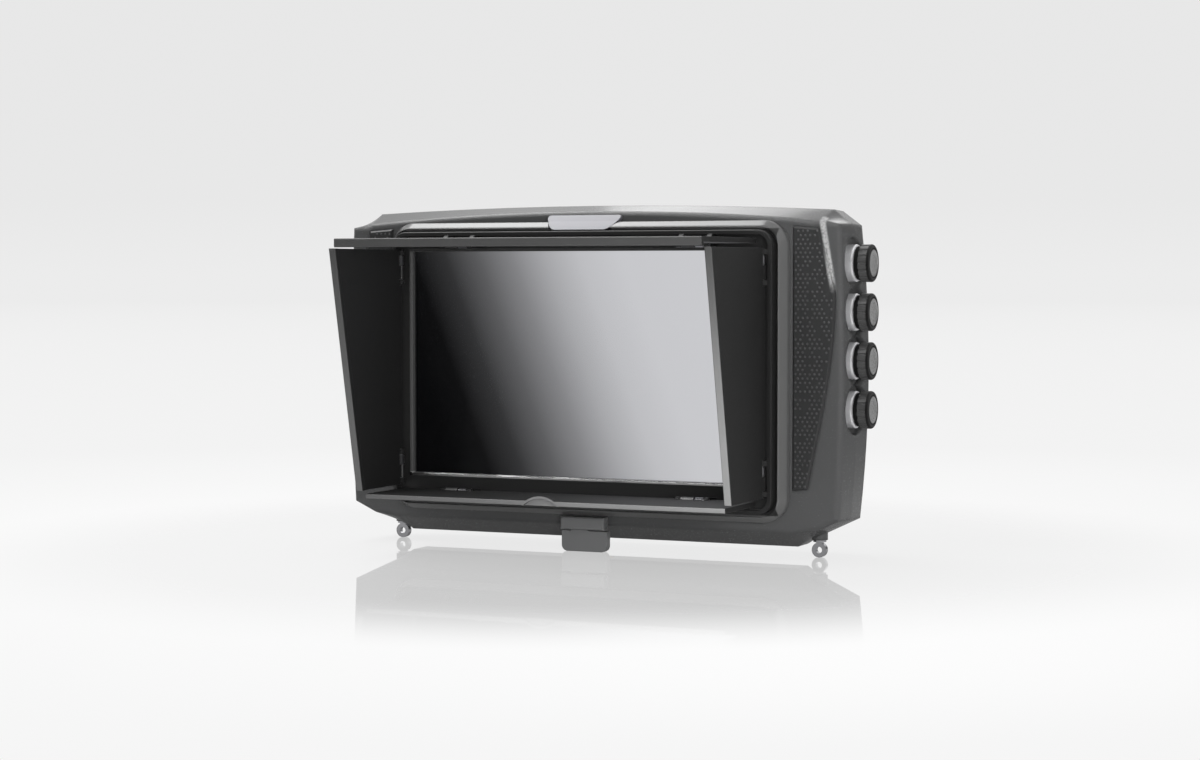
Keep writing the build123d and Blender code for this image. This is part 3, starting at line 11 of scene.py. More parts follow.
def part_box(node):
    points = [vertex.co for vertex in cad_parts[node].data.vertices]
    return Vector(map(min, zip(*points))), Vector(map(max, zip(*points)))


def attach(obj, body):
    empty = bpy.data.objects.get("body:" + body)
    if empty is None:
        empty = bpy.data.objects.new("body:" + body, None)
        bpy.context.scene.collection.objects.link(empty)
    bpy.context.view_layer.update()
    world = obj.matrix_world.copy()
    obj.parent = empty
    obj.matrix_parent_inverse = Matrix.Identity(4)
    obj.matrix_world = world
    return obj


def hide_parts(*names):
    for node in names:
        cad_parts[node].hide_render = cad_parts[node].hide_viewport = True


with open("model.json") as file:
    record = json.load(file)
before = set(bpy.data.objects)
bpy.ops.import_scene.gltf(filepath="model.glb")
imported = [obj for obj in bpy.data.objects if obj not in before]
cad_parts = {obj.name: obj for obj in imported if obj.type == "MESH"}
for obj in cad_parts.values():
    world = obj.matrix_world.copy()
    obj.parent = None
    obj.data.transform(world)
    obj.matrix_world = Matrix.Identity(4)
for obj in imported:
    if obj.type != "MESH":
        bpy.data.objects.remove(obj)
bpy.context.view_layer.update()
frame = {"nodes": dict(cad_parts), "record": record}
nodes = frame["nodes"]
mm = 0.001
pictureWidth = 152.4 * mm
pictureHeight = 91.4 * mm
pictureMiddle = 71.6 * mm       # height of the picture's centre above the socket
windowPlane = -24 * mm          # the hood frame's window plane along Y
print("frame loaded:", len(nodes), "nodes")


class Wire:
    # one output socket that can be used in sums; every operator adds a Math node
    def __init__(self, shader, socket):
        self.shader = shader
        self.socket = socket

    def join(self, operation, first, second=None):
        values = {0: first} if second is None else {0: first, 1: second}
        return self.shader.node("Math", {"operation": operation}, values)

    def __add__(self, other):
        return self.join("ADD", self, other)

    def __radd__(self, other):
        return self.join("ADD", other, self)

    def __sub__(self, other):
        return self.join("SUBTRACT", self, other)

    def __rsub__(self, other):
        return self.join("SUBTRACT", other, self)

    def __mul__(self, other):
        return self.join("MULTIPLY", self, other)

    def __rmul__(self, other):
        return self.join("MULTIPLY", other, self)

    def __truediv__(self, other):
        return self.join("DIVIDE", self, other)

    def __rtruediv__(self, other):
        return self.join("DIVIDE", other, self)

    def least(self, other):
        return self.join("MINIMUM", self, other)

    def most(self, other):
        return self.join("MAXIMUM", self, other)

    def size(self):
        return self.join("ABSOLUTE", self)


class Shader:
    # a node tree with one method that adds any node: settings first, then values or links
    def __init__(self, tree):
        self.tree = tree
        tree.nodes.clear()

    def node(self, kind, settings=None, values=None, output=0):
        made = self.tree.nodes.new("ShaderNode" + kind)
        for key, value in (settings or {}).items():
            if key == "stops":
                self.setStops(made.color_ramp, value)
            else:
                setattr(made, key, value)
        for key, value in (values or {}).items():
            socket = made.inputs[key]
            if isinstance(value, Wire):
                self.tree.links.new(value.socket, socket)
            else:
                socket.default_value = value
        return Wire(self, made.outputs[output]) if len(made.outputs) else made

    def setStops(self, ramp, stops):
        while len(ramp.elements) < len(stops):
            ramp.elements.new(1)
        for element, (place, shade) in zip(ramp.elements, stops):
            element.position = place
            element.color = padded(shade)

    def place(self, name="Object"):
        return self.node("TexCoord", output=name)

    def split(self, vector):
        made = self.node("SeparateXYZ", values={0: vector})
        return [Wire(self, made.socket.node.outputs[axis]) for axis in range(3)]

    def stretched(self, scale):
        # object places with a scale of their own along each axis
        return self.node("Mapping", values={"Vector": self.place(), "Scale": scale})

    def noise(self, scale, detail=2, roughness=0.5, vector=None):
        values = {"Scale": scale, "Detail": detail, "Roughness": roughness}
        values["Vector"] = vector or self.place()
        return self.node("TexNoise", values=values, output="Fac")

    def ramp(self, value, stops):
        return self.node("ValToRGB", {"stops": stops}, {0: value})

    def smooth(self, value, low, high, start=0.0, end=1.0):
        settings = {"interpolation_type": "SMOOTHSTEP"}
        return self.node("MapRange", settings, {0: value, 1: low, 2: high, 3: start, 4: end})

    def tint(self, factor, first, second):
        # colours only, through a Mix node
        values = {0: factor, 6: padded(first), 7: padded(second)}
        return self.node("Mix", {"data_type": "RGBA"}, values, 2)

    def rounded(self, radius):
        return self.node("Bevel", {"samples": 4}, {"Radius": radius})

    def edges(self, radius, gain):
        # 0 on flat faces, 1 along edges
        turned = self.rounded(radius)
        flat = self.node("NewGeometry", output="Normal")
        alike = self.node("VectorMath", {"operation": "DOT_PRODUCT"}, {0: turned, 1: flat}, "Value")
        return ((1 - alike) * gain).least(1.0)

    def bump(self, height, strength, distance, normal=None):
        values = {"Height": height, "Strength": strength, "Distance": distance}
        if normal:
            values["Normal"] = normal
        return self.node("Bump", values=values)

    def finish(self, values):
        self.end(self.node("BsdfPrincipled", values=values))

    def end(self, surface, kind="OutputMaterial"):
        self.node(kind, values={"Surface": surface})


def padded(shade):
    if isinstance(shade, Wire) or len(shade) == 4:
        return shade
    return (*shade, 1)


def grey(level, warm=0.0):
    return (level * (1 + warm), level, level * (1 - warm), 1)


def newMaterial(name):
    made = bpy.data.materials.new(name)
    made.use_nodes = True
    return made, Shader(made.node_tree)


# the texture that the moulded pieces share: noise scales, the depth of the spark marks, and how much they
# and the paler edges, part wear and part painted highlight, shift the gloss
moulding = {"flow": 16, "flowDetail": 3, "spark": 1900, "sparkRough": 0.6, "depth": 0.05 * mm, "gloss": 0.08,
            "edgeGain": 2.2}

# a painted highlight down the right of the front: where the line starts, how it leans, where it ends
highlightStreak = {"across": 100.6 * mm, "up": 128.2 * mm, "lean": 0.175, "width": 1.7 * mm, "end": 100 * mm,
          "fade": 8 * mm, "depth": -14 * mm, "behind": 2 * mm, "tone": 0.44}


def mouldedPlastic(name, base, rough, grain=1.0, edge=0.25, bevel=0.35, soften=0.35,
                   sleek=0.0, paintHighlight=False):
    # satin moulding: spark texture, faint flow marks, edges a little paler and smoother, part wear and part
    # painted highlight; sleek is how much smoother the faces are that point up, the last flag adds the
    # painted highlight line on the front
    look = {"uneven": 0.1, "cool": -0.01, "scuff": 420, "scuffShare": 0.55, "wornAndLit": 2.6,
            "upright": 0.8, "level": 0.97}
    made, shader = newMaterial(name)
    flow = shader.noise(moulding["flow"], moulding["flowDetail"])
    spark = shader.noise(moulding["spark"], 2, moulding["sparkRough"])
    rubbedAndLit = shader.edges(bevel * mm, moulding["edgeGain"])
    scuffs = shader.smooth(shader.noise(look["scuff"], 4, 0.7), 0.35, 0.75)
    wearAndHighlight = rubbedAndLit * (1 - look["scuffShare"] + scuffs * look["scuffShare"])
    darker, paler = base * (1 - look["uneven"]), base * (1 + look["uneven"])
    body = shader.tint(flow, grey(darker, look["cool"]), grey(paler, look["cool"]))
    # edges painted paler: part wear, part painted highlight
    shade = shader.tint(wearAndHighlight * edge, body, grey(min(base * look["wornAndLit"] + 0.05, 0.5)))
    roughness = rough + (spark - 0.5) * moulding["gloss"] - wearAndHighlight * moulding["gloss"]
    if sleek:
        _, _, upward = shader.split(shader.place("Normal"))
        roughness = roughness - shader.smooth(upward, look["upright"], look["level"]) * sleek
    # the painted highlight line down the right of the front
    if paintHighlight:
        shade = shader.tint(paintedHighlightLine(shader), shade, grey(highlightStreak["tone"]))
    shader.finish({
        "Base Color": shade,
        "Roughness": roughness,
        "Normal": shader.bump(spark, 0.16 * grain, moulding["depth"], shader.rounded(soften * mm)),
    })
    return made


def paintedHighlightLine(shader):
    # 1 along the painted highlight, broken up by the texture, fading out at its lower end
    across, along, up = shader.split(shader.place())
    beside = (across - highlightStreak["across"] - (highlightStreak["up"] - up) * highlightStreak["lean"]).size()
    line = shader.smooth(beside, highlightStreak["width"], highlightStreak["width"] * 0.3)
    fade = shader.smooth(up, highlightStreak["end"], highlightStreak["end"] + highlightStreak["fade"])
    front = shader.smooth(along, highlightStreak["depth"] + highlightStreak["behind"], highlightStreak["depth"])
    speckle = shader.smooth(shader.noise(1100, 3, 0.7), 0.3, 0.6, 0.35, 1.0)
    return line * fade * front * speckle


def framePlastic(name):
    # satin band round the outside, matt black from its groove inwards
    look = {"band": 3 * mm, "groove": 0.4 * mm, "face": 0.11, "uneven": 0.1, "inner": 0.018, "faceRough": 0.2,
            "innerRough": 0.45, "faceWornAndLit": 0.3, "innerWornAndLit": 0.12, "edge": 0.35 * mm}
    low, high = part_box("hood_frame")
    middle, half = (low + high) / 2, (high - low) / 2
    made, shader = newMaterial(name)
    across, _, up = shader.split(shader.place())
    inset = (half.x - across.size()).least(half.z - (up - middle.z).size())
    inside = shader.smooth(inset, look["band"], look["band"] + look["groove"])
    spark = shader.noise(moulding["spark"], 2, moulding["sparkRough"])
    rubbedAndLit = shader.edges(look["edge"], moulding["edgeGain"])
    darker, paler = look["face"] * (1 - look["uneven"]), look["face"] * (1 + look["uneven"])
    flow = shader.noise(moulding["flow"], moulding["flowDetail"])
    # edges painted paler on the band and inside: part wear, part painted highlight
    band = shader.tint(rubbedAndLit * 0.25, shader.tint(flow, grey(darker), grey(paler)), grey(look["faceWornAndLit"]))
    inner = shader.tint(rubbedAndLit * 0.2, grey(look["inner"]), grey(look["innerWornAndLit"]))
    roughness = look["faceRough"] + inside * (look["innerRough"] - look["faceRough"])
    shader.finish({
        "Base Color": shader.tint(inside, band, inner),
        "Roughness": roughness + (spark - 0.5) * moulding["gloss"],
        "Normal": shader.bump(spark, 0.1, moulding["depth"], shader.rounded(look["edge"])),
    })
    return made


def flapPlastic(name):
    # matt black faces, painted paler on those that point up as if lit from above; the faces that point
    # forward are paler, and towards the lower right they are painted paler still, a painted highlight on the
    # rims
    look = {"face": 0.016, "uneven": 0.15, "dustAndLitTop": 0.05, "rim": 0.055, "rubbedAndLit": 0.27, "wornAndLit": 0.24,
            "faceRough": 0.6, "rimRough": 0.3, "edge": 0.3 * mm, "highlightNone": 60 * mm, "highlightFull": -45 * mm,
            "side": 90 * mm}
    made, shader = newMaterial(name)
    spark = shader.noise(moulding["spark"], 2, moulding["sparkRough"])
    _, facing, upward = shader.split(shader.place("Normal"))
    rim = shader.smooth(0 - facing, 0.35, 0.8)
    darker, paler = look["face"] * (1 - look["uneven"]), look["face"] * (1 + look["uneven"])
    body = shader.tint(shader.noise(moulding["flow"], moulding["flowDetail"]), grey(darker), grey(paler))
    # faces that point up painted paler: a painted lit top, as if lit from above
    body = shader.tint(shader.smooth(upward, 0.5, 0.9), body, grey(look["dustAndLitTop"]))
    across, _, up = shader.split(shader.place())
    # painted highlight on the forward rims, strongest towards the lower right
    low = shader.smooth(up, pictureMiddle + look["highlightNone"], pictureMiddle + look["highlightFull"])
    right = shader.smooth(across, -look["side"], look["side"], 0.25, 1.0)
    paintedRimHighlight = low * right * (0.85 + shader.noise(60, 3) * 0.3)
    shade = shader.tint(rim, body, shader.tint(paintedRimHighlight, grey(look["rim"]), grey(look["rubbedAndLit"])))
    # edges painted paler: part wear, part painted highlight
    rubbedAndLit = shader.edges(look["edge"], moulding["edgeGain"])
    roughness = look["faceRough"] + rim * (look["rimRough"] - look["faceRough"])
    shader.finish({
        "Base Color": shader.tint(rubbedAndLit * 0.5, shade, grey(look["wornAndLit"])),
        "Roughness": roughness + (spark - 0.5) * 0.1,
        "Normal": shader.bump(spark, 0.2, moulding["depth"], shader.rounded(look["edge"])),
    })
    return made


def knobPlastic(name):
    # waist painted black as shade, dark fluted barrel, a ring painted black as shade, and a satin button on
    # the end painted paler as lit
    look = {"waistEnd": 112.9 * mm, "capFrom": 117.3 * mm, "ring": 0.9 * mm, "blend": 0.2 * mm,
            "shadeBlack": 0.003, "barrel": 0.045, "button": 0.2, "wornAndLit": 0.16, "edge": 0.25 * mm, "rough": 0.36}
    ringFrom = look["capFrom"] - look["ring"]
    made, shader = newMaterial(name)
    spark = shader.noise(1700, 3, moulding["sparkRough"])
    along, _, _ = shader.split(shader.place())
    cap = shader.smooth(along, look["capFrom"] - look["blend"], look["capFrom"] + look["blend"] / 2)
    waist = shader.smooth(along, look["waistEnd"], look["waistEnd"] - look["blend"])
    ring = shader.smooth(along, ringFrom - look["blend"] * 1.5, ringFrom) * (1 - cap)
    # barrel tone speckled with the spark texture
    speckledBarrel = shader.tint(spark, grey(look["barrel"] * 0.7), grey(look["barrel"] * 1.6))
    # edges painted paler: part wear, part painted highlight
    barrel = shader.tint(shader.edges(look["edge"], 2.5) * 0.5, speckledBarrel, grey(look["wornAndLit"]))
    # the end painted paler: a painted lit face
    shade = shader.tint(cap, barrel, grey(look["button"]))
    shader.finish({
        # the waist and the ring painted black: painted shade
        "Base Color": shader.tint(waist.most(ring), shade, grey(look["shadeBlack"])),
        "Roughness": look["rough"] + waist * 0.4 + ring * 0.2 - cap * 0.08 + (spark - 0.5) * 0.1,
        "Normal": shader.bump(spark, 0.2, moulding["depth"], shader.rounded(look["edge"])),
    })
    return made


def plated(name, tone, rough, brushed=0.0, metal=1.0):
    # plating or turned metal, with fine streaks and a little tarnish
    look = {"cloud": 240, "streaks": (900, 900, 9000), "tarnish": 0.9, "bump": 0.2, "depth": 0.02 * mm,
            "edge": 0.12 * mm}
    made, shader = newMaterial(name)
    cloud = shader.noise(look["cloud"], 3)
    grain = shader.noise(1.0, 2, 0.6, shader.stretched(look["streaks"]))
    strength = look["bump"] * (0.2 + brushed)
    shader.finish({
        "Base Color": shader.tint(cloud, tuple(part * look["tarnish"] for part in tone), tone),
        "Metallic": metal,
        "Roughness": rough + cloud * 0.05 + grain * brushed,
        "Normal": shader.bump(grain, strength, look["depth"], shader.rounded(look["edge"])),
    })
    return made


def paintedScreenReflection(name):
    # dark display with a soft grey sweep from its lower left corner to the right, a painted reflection that
    # glows; each tone has its place along the sweep, the cast multiplies them all, and the lean is how far
    # the sweep slants over the height
    look = {
        "tones": [(0.0, 0.0005), (0.1, 0.003), (0.2, 0.034), (0.3, 0.12), (0.4, 0.255), (0.5, 0.44),
                  (0.6, 0.585), (0.72, 0.66), (1.0, 0.685)],
        "cast": (0.99, 0.995, 1.035), "lean": 0.24,
        "dark": (0.004, 0.004, 0.0045, 1), "rough": 0.3, "specular": 0.08,
    }
    made, shader = newMaterial(name)
    across, _, up = shader.split(shader.place())
    level = up - pictureMiddle
    along = across / pictureWidth + 0.5 + level * (look["lean"] / pictureHeight)
    stops = [(place, tuple(tone * part for part in look["cast"])) for place, tone in look["tones"]]
    shader.finish({
        "Base Color": look["dark"],
        "Roughness": look["rough"] + shader.noise(900, 1) * 0.05,
        "Specular IOR Level": look["specular"],
        # glow that carries the painted reflection of the studio
        "Emission Color": shader.ramp(along, stops),
        "Emission Strength": 1.0,
    })
    return made


def windowTrim(name):
    # dark trim, its upper bar painted darker still as shade under the top flap; its lower bar has a bevel of
    # bare polished metal
    look = {"bar": 0.08, "top": 0.03, "rough": 0.35, "bare": 0.95, "polish": 0.2, "near": 0.2 * mm,
            "far": 0.4 * mm, "edge": 0.15 * mm}
    half = pictureHeight / 2
    made, shader = newMaterial(name)
    _, _, up = shader.split(shader.place())
    level = up - pictureMiddle
    low = shader.smooth(level, look["far"] - half, -look["near"] - half)
    high = shader.smooth(level, half - look["near"], half + look["far"])
    # the upper bar painted darker: painted shade under the top flap
    shadedBars = shader.tint(high, grey(look["bar"]), grey(look["top"]))
    shader.finish({
        "Base Color": shader.tint(low, shadedBars, grey(look["bare"])),
        "Metallic": low,
        "Roughness": look["rough"] + shader.noise(900, 2) * 0.1 - low * look["polish"],
        "Normal": shader.rounded(look["edge"]),
    })
    return made


def coverGlass(name):
    # anti-glare glass, almost clear, with a trace of dust
    look = {"body": (0.01, 0.011, 0.013, 1), "rough": 0.05, "dustRough": 0.2,
            "alpha": 0.07, "dustAlpha": 0.03}
    made, shader = newMaterial(name)
    dustAndLitTop = shader.smooth(shader.noise(2600, 3, 0.7), 0.66, 0.8)
    shader.finish({
        "Base Color": look["body"],
        "Roughness": look["rough"] + dustAndLitTop * look["dustRough"],
        "Alpha": look["alpha"] + dustAndLitTop * look["dustAlpha"],
    })
    made.surface_render_method = "BLENDED"
    return made


def frostedLens(name):
    # milky tally cover, painted darker towards its lower edge as shade
    look = {"low": (0.18, 0.18, 0.21), "high": (0.26, 0.26, 0.29), "fadeFrom": 126 * mm, "fadeTo": 132.5 * mm,
            "rough": 0.32, "coat": 0.3, "coatRough": 0.15}
    made, shader = newMaterial(name)
    grain = shader.noise(1500, 2)
    _, _, up = shader.split(shader.place())
    # painted shade: darker towards the lower edge
    fade = shader.smooth(up, look["fadeFrom"], look["fadeTo"])
    shader.finish({
        "Base Color": shader.tint(fade, look["low"], look["high"]),
        "Roughness": look["rough"] + grain * 0.1,
        "Coat Weight": look["coat"],
        "Coat Roughness": look["coatRough"],
        "Normal": shader.bump(grain, 0.12, 0.04 * mm, shader.rounded(0.3 * mm)),
    })
    return made


def circuitBoard(name):
    # green solder resist with a grid of paler tracks
    look = {"resist": (0.012, 0.09, 0.045, 1), "copper": (0.02, 0.12, 0.06, 1), "track": (0.06, 0.21, 0.1, 1),
            "tracks": 420, "gap": 0.06, "rough": 0.4, "coat": 0.5}
    made, shader = newMaterial(name)
    upright = shader.node("Mapping", values={"Vector": shader.place(), "Rotation": (math.pi / 2, 0, 0)})
    tracks = shader.node("TexBrick", {"offset": 0.5}, {
        "Vector": upright, "Scale": look["tracks"], "Mortar Size": look["gap"], "Color1": look["resist"],
        "Color2": look["copper"], "Mortar": look["track"],
    })
    shader.finish({
        "Base Color": tracks,
        "Roughness": look["rough"] + shader.noise(700, 2) * 0.15,
        "Coat Weight": look["coat"],
    })
    return made


def softRubber(name, base, rough=0.75):
    # matt rubber with a fine grain
    made, shader = newMaterial(name)
    grain = shader.noise(1400, 4, 0.7)
    shader.finish({
        "Base Color": shader.tint(grain, grey(base * 0.8), grey(base * 1.2)),
        "Roughness": rough + grain * 0.15,
        "Normal": shader.bump(grain, 0.2, 0.06 * mm),
    })
    return made


# one finish for each kind of surface; the CAD slots and the pieces below ask for them by these names
finishes = {
    "shell": mouldedPlastic("satinShell", 0.075, 0.26, grain=0.6, edge=0.3, soften=2.0, sleek=0.12,
                            paintHighlight=True),
    # the catch wears the shell's moulding painted paler: a painted lit copy of it
    "catch": mouldedPlastic("catchMoulding", 0.18, 0.3, grain=0.6, edge=0.4),
    "frame": framePlastic("hoodFrameSatin"),
    "flap": flapPlastic("flapPlastic"),
    "grip": mouldedPlastic("gripInlay", 0.032, 0.36, grain=1.4, edge=0.15, bevel=0.3, paintHighlight=True),
    "knob": knobPlastic("knobPlastic"),
    "chrome": plated("brightPlating", (0.52, 0.52, 0.54, 1), 0.08),
    "collar": plated("satinPlating", (0.9, 0.9, 0.92, 1), 0.22, metal=0.65),
    "steel": plated("turnedSteel", (0.56, 0.56, 0.58, 1), 0.24, brushed=0.3),
    "brass": plated("turnedBrass", (0.72, 0.53, 0.24, 1), 0.26, brushed=0.3),
    "trim": windowTrim("windowTrim"),
    "rubber": softRubber("gasketRubber", 0.02),
    "glass": coverGlass("coverGlass"),
    "panel_metal": plated("stampedAluminium", (0.6, 0.61, 0.63, 1), 0.34, brushed=0.2),
    "cell": paintedScreenReflection("paintedScreenReflection"),
    "board": circuitBoard("circuitBoard"),
    "chip": mouldedPlastic("chipPackage", 0.02, 0.5, grain=1.2, edge=0.2, bevel=0.1),
    "ribbon": mouldedPlastic("ribbonFilm", 0.3, 0.3, grain=0.3, edge=0.1, bevel=0.05),
    "black_plastic": mouldedPlastic("blackMoulding", 0.016, 0.4, grain=0.7, edge=0.3, bevel=0.2),
    "lens": frostedLens("frostedLens"),
    # the studs painted paler than the grip: a painted highlight on them
    "studs": mouldedPlastic("highlitStuds", 0.085, 0.3, grain=0.3, edge=0.1, bevel=0.1),
}
slots = {part["node"]: part["material_slot"] for part in frame["record"]["subparts"]}


def paint(piece, finishName):
    piece.data.materials.clear()
    piece.data.materials.append(finishes[finishName])


# these nodes wear another finish than their slot's
special = {"knob_collars": "collar", "hood_catch": "catch", "catch_block": "catch"}
for nodeName, node in nodes.items():
    paint(node, special.get(nodeName, slots[nodeName]))
print("finishes on", len(nodes), "nodes")


class Field:
    # a geometry node tree with named inputs; the same one method adds every node
    def __init__(self, name, inputs):
        self.tree = bpy.data.node_groups.new(name, "GeometryNodeTree")
        face = self.tree.interface
        face.new_socket("Geometry", in_out="INPUT", socket_type="NodeSocketGeometry")
        self.keys = {}
        for label, (kind, value) in inputs.items():
            socket = face.new_socket(label, in_out="INPUT", socket_type="NodeSocket" + kind)
            if value is not None:
                socket.default_value = value
            self.keys[label] = socket.identifier
        face.new_socket("Geometry", in_out="OUTPUT", socket_type="NodeSocketGeometry")
        self.start = self.tree.nodes.new("NodeGroupInput")
        self.finish = self.tree.nodes.new("NodeGroupOutput")

    def given(self, label):
        return self.start.outputs[label]

    def node(self, kind, settings=None, values=None):
        made = self.tree.nodes.new(kind)
        for key, value in (settings or {}).items():
            setattr(made, key, value)
        for key, value in (values or {}).items():
            if isinstance(value, bpy.types.NodeSocket):
                self.tree.links.new(value, made.inputs[key])
            else:
                made.inputs[key].default_value = value
        return made

    def math(self, operation, first, second):
        made = self.node("ShaderNodeMath", {"operation": operation}, {0: first, 1: second})
        return made.outputs[0]

    def close(self, geometry, material):
        real = self.node("GeometryNodeRealizeInstances", values={0: geometry})
        dressed = self.node("GeometryNodeSetMaterial", values={0: real.outputs[0], "Material": material})
        self.tree.links.new(dressed.outputs[0], self.finish.inputs[0])


def growPiece(name, field, values, start=None):
    # runs the tree on a start mesh and keeps the result as a plain mesh
    seed = bpy.data.objects.new(name + "Seed", start or bpy.data.meshes.new(name + "Seed"))
    bpy.context.scene.collection.objects.link(seed)
    modifier = seed.modifiers.new("grow", "NODES")
    modifier.node_group = field.tree
    for label, value in values.items():
        modifier[field.keys[label]] = value
    seed.update_tag()
    graph = bpy.context.evaluated_depsgraph_get()
    mesh = bpy.data.meshes.new_from_object(seed.evaluated_get(graph))
    bpy.data.objects.remove(seed)
    mesh.name = name
    return linkPiece(name, mesh)


def linkPiece(name, mesh):
    # an object at the origin, with its place in its mesh
    piece = bpy.data.objects.new(name, mesh)
    bpy.context.scene.collection.objects.link(piece)
    return piece


def meshFrom(name, tool):
    # closes a bmesh into a mesh whose faces all point outwards
    bmesh.ops.recalc_face_normals(tool, faces=tool.faces)
    mesh = bpy.data.meshes.new(name)
    tool.to_mesh(mesh)
    tool.free()
    return mesh


def settle(piece, body, slotName, replaced=()):
    # names the piece's slot, the body that it moves with and the CAD nodes that it stands for
    if not piece.data.materials:
        paint(piece, slotName)
    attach(piece, body)
    if replaced:
        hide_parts(*replaced)


# coil springs on the hinge pins and on the catch pin; the inset is counted in wire radii
spring = {"wire": 0.19 * mm, "coil": 1.12 * mm, "hingeTurns": 8.0, "catchTurns": 7.0, "inset": 2.4,
          "steps": 20, "sides": 8}
merge = 0.001 * mm              # corners of a node's loose triangles closer than this are one corner


def springField():
    field = Field("coilSpring", {
        "Wire": ("Float", spring["wire"]),
        "Coil": ("Float", spring["coil"]),
        "Length": ("Float", 4 * mm),
        "Turns": ("Float", spring["hingeTurns"]),
    })
    spiral = field.node("GeometryNodeCurveSpiral", values={
        "Resolution": spring["steps"], "Rotations": field.given("Turns"), "Height": field.given("Length"),
        "Start Radius": field.given("Coil"), "End Radius": field.given("Coil"),
    })
    ring = field.node("GeometryNodeCurvePrimitiveCircle", values={
        "Resolution": spring["sides"], "Radius": field.given("Wire"),
    })
    coil = field.node("GeometryNodeCurveToMesh", values={
        0: spiral.outputs[0], 1: ring.outputs[0], "Fill Caps": True,
    })
    smooth = field.node("GeometryNodeSetShadeSmooth", values={0: coil.outputs[0]})
    aim = field.node("GeometryNodeInputNamedAttribute", {"data_type": "FLOAT_VECTOR"}, {"Name": "aim"})
    turn = field.node("FunctionNodeAlignRotationToVector", {"axis": "Z"}, {"Vector": aim.outputs[0]})
    spread = field.node("GeometryNodeInstanceOnPoints", values={
        "Points": field.given("Geometry"), "Instance": smooth.outputs[0], "Rotation": turn.outputs[0],
    })
    field.close(spread.outputs[0], finishes["steel"])
    return field


def aimedPoints(name, rows):
    # one point for each spring, with the way it runs stored beside it
    mesh = bpy.data.meshes.new(name)
    mesh.from_pydata([place for place, _ in rows], [], [])
    aims = mesh.attributes.new("aim", "FLOAT_VECTOR", "POINT")
    for index, (_, aim) in enumerate(rows):
        aims.data[index].vector = aim
    return mesh


def looseParts(node):
    # lowest and highest corner of each loose solid of a node
    tool = bmesh.new()
    tool.from_mesh(nodes[node].data)
    bmesh.ops.remove_doubles(tool, verts=tool.verts, dist=merge)
    left, parts = set(tool.verts), []
    while left:
        queue, part = [left.pop()], []
        while queue:
            vert = queue.pop()
            part.append(vert.co.copy())
            for edge in vert.link_edges:
                other = edge.other_vert(vert)
                if other in left:
                    left.remove(other)
                    queue.append(other)
        parts.append(part)
    tool.free()
    corners = []
    for part in parts:
        low = Vector([min(co[axis] for co in part) for axis in range(3)])
        high = Vector([max(co[axis] for co in part) for axis in range(3)])
        corners.append((low, high))
    return sorted(corners, key=lambda pair: tuple(pair[0]))


def springRows(node):
    # where each spring of a node starts and the way it runs, and how long they all are
    rows, span = [], 0.0
    for low, high in looseParts(node):
        size = high - low
        axis = max(range(3), key=lambda way: size[way])
        span = size[axis] - spring["inset"] * spring["wire"]
        aim = Vector([float(way == axis) for way in range(3)])
        rows.append(((low + high) / 2 - aim * span / 2, aim))
    return rows, span


coils = springField()
for node, name, turns in (
    ("flap_springs", "hoodSprings", spring["hingeTurns"]),
    ("catch_spring", "catchCoil", spring["catchTurns"]),
):
    rows, span = springRows(node)
    piece = growPiece(name, coils, {"Length": span, "Turns": turns}, aimedPoints(name + "Points", rows))
    settle(piece, "monitor", "steel", [node])
print("springs wound")

# raised studs on the two grips, in rows that are shifted by half a pitch
stud = {"pitch": 1.95 * mm, "radius": 0.46 * mm, "rise": 0.24 * mm, "across": 14, "up": 70,
        "segments": 8, "rings": 4, "flatness": 0.998, "standOff": 10 * mm, "reach": 50 * mm}


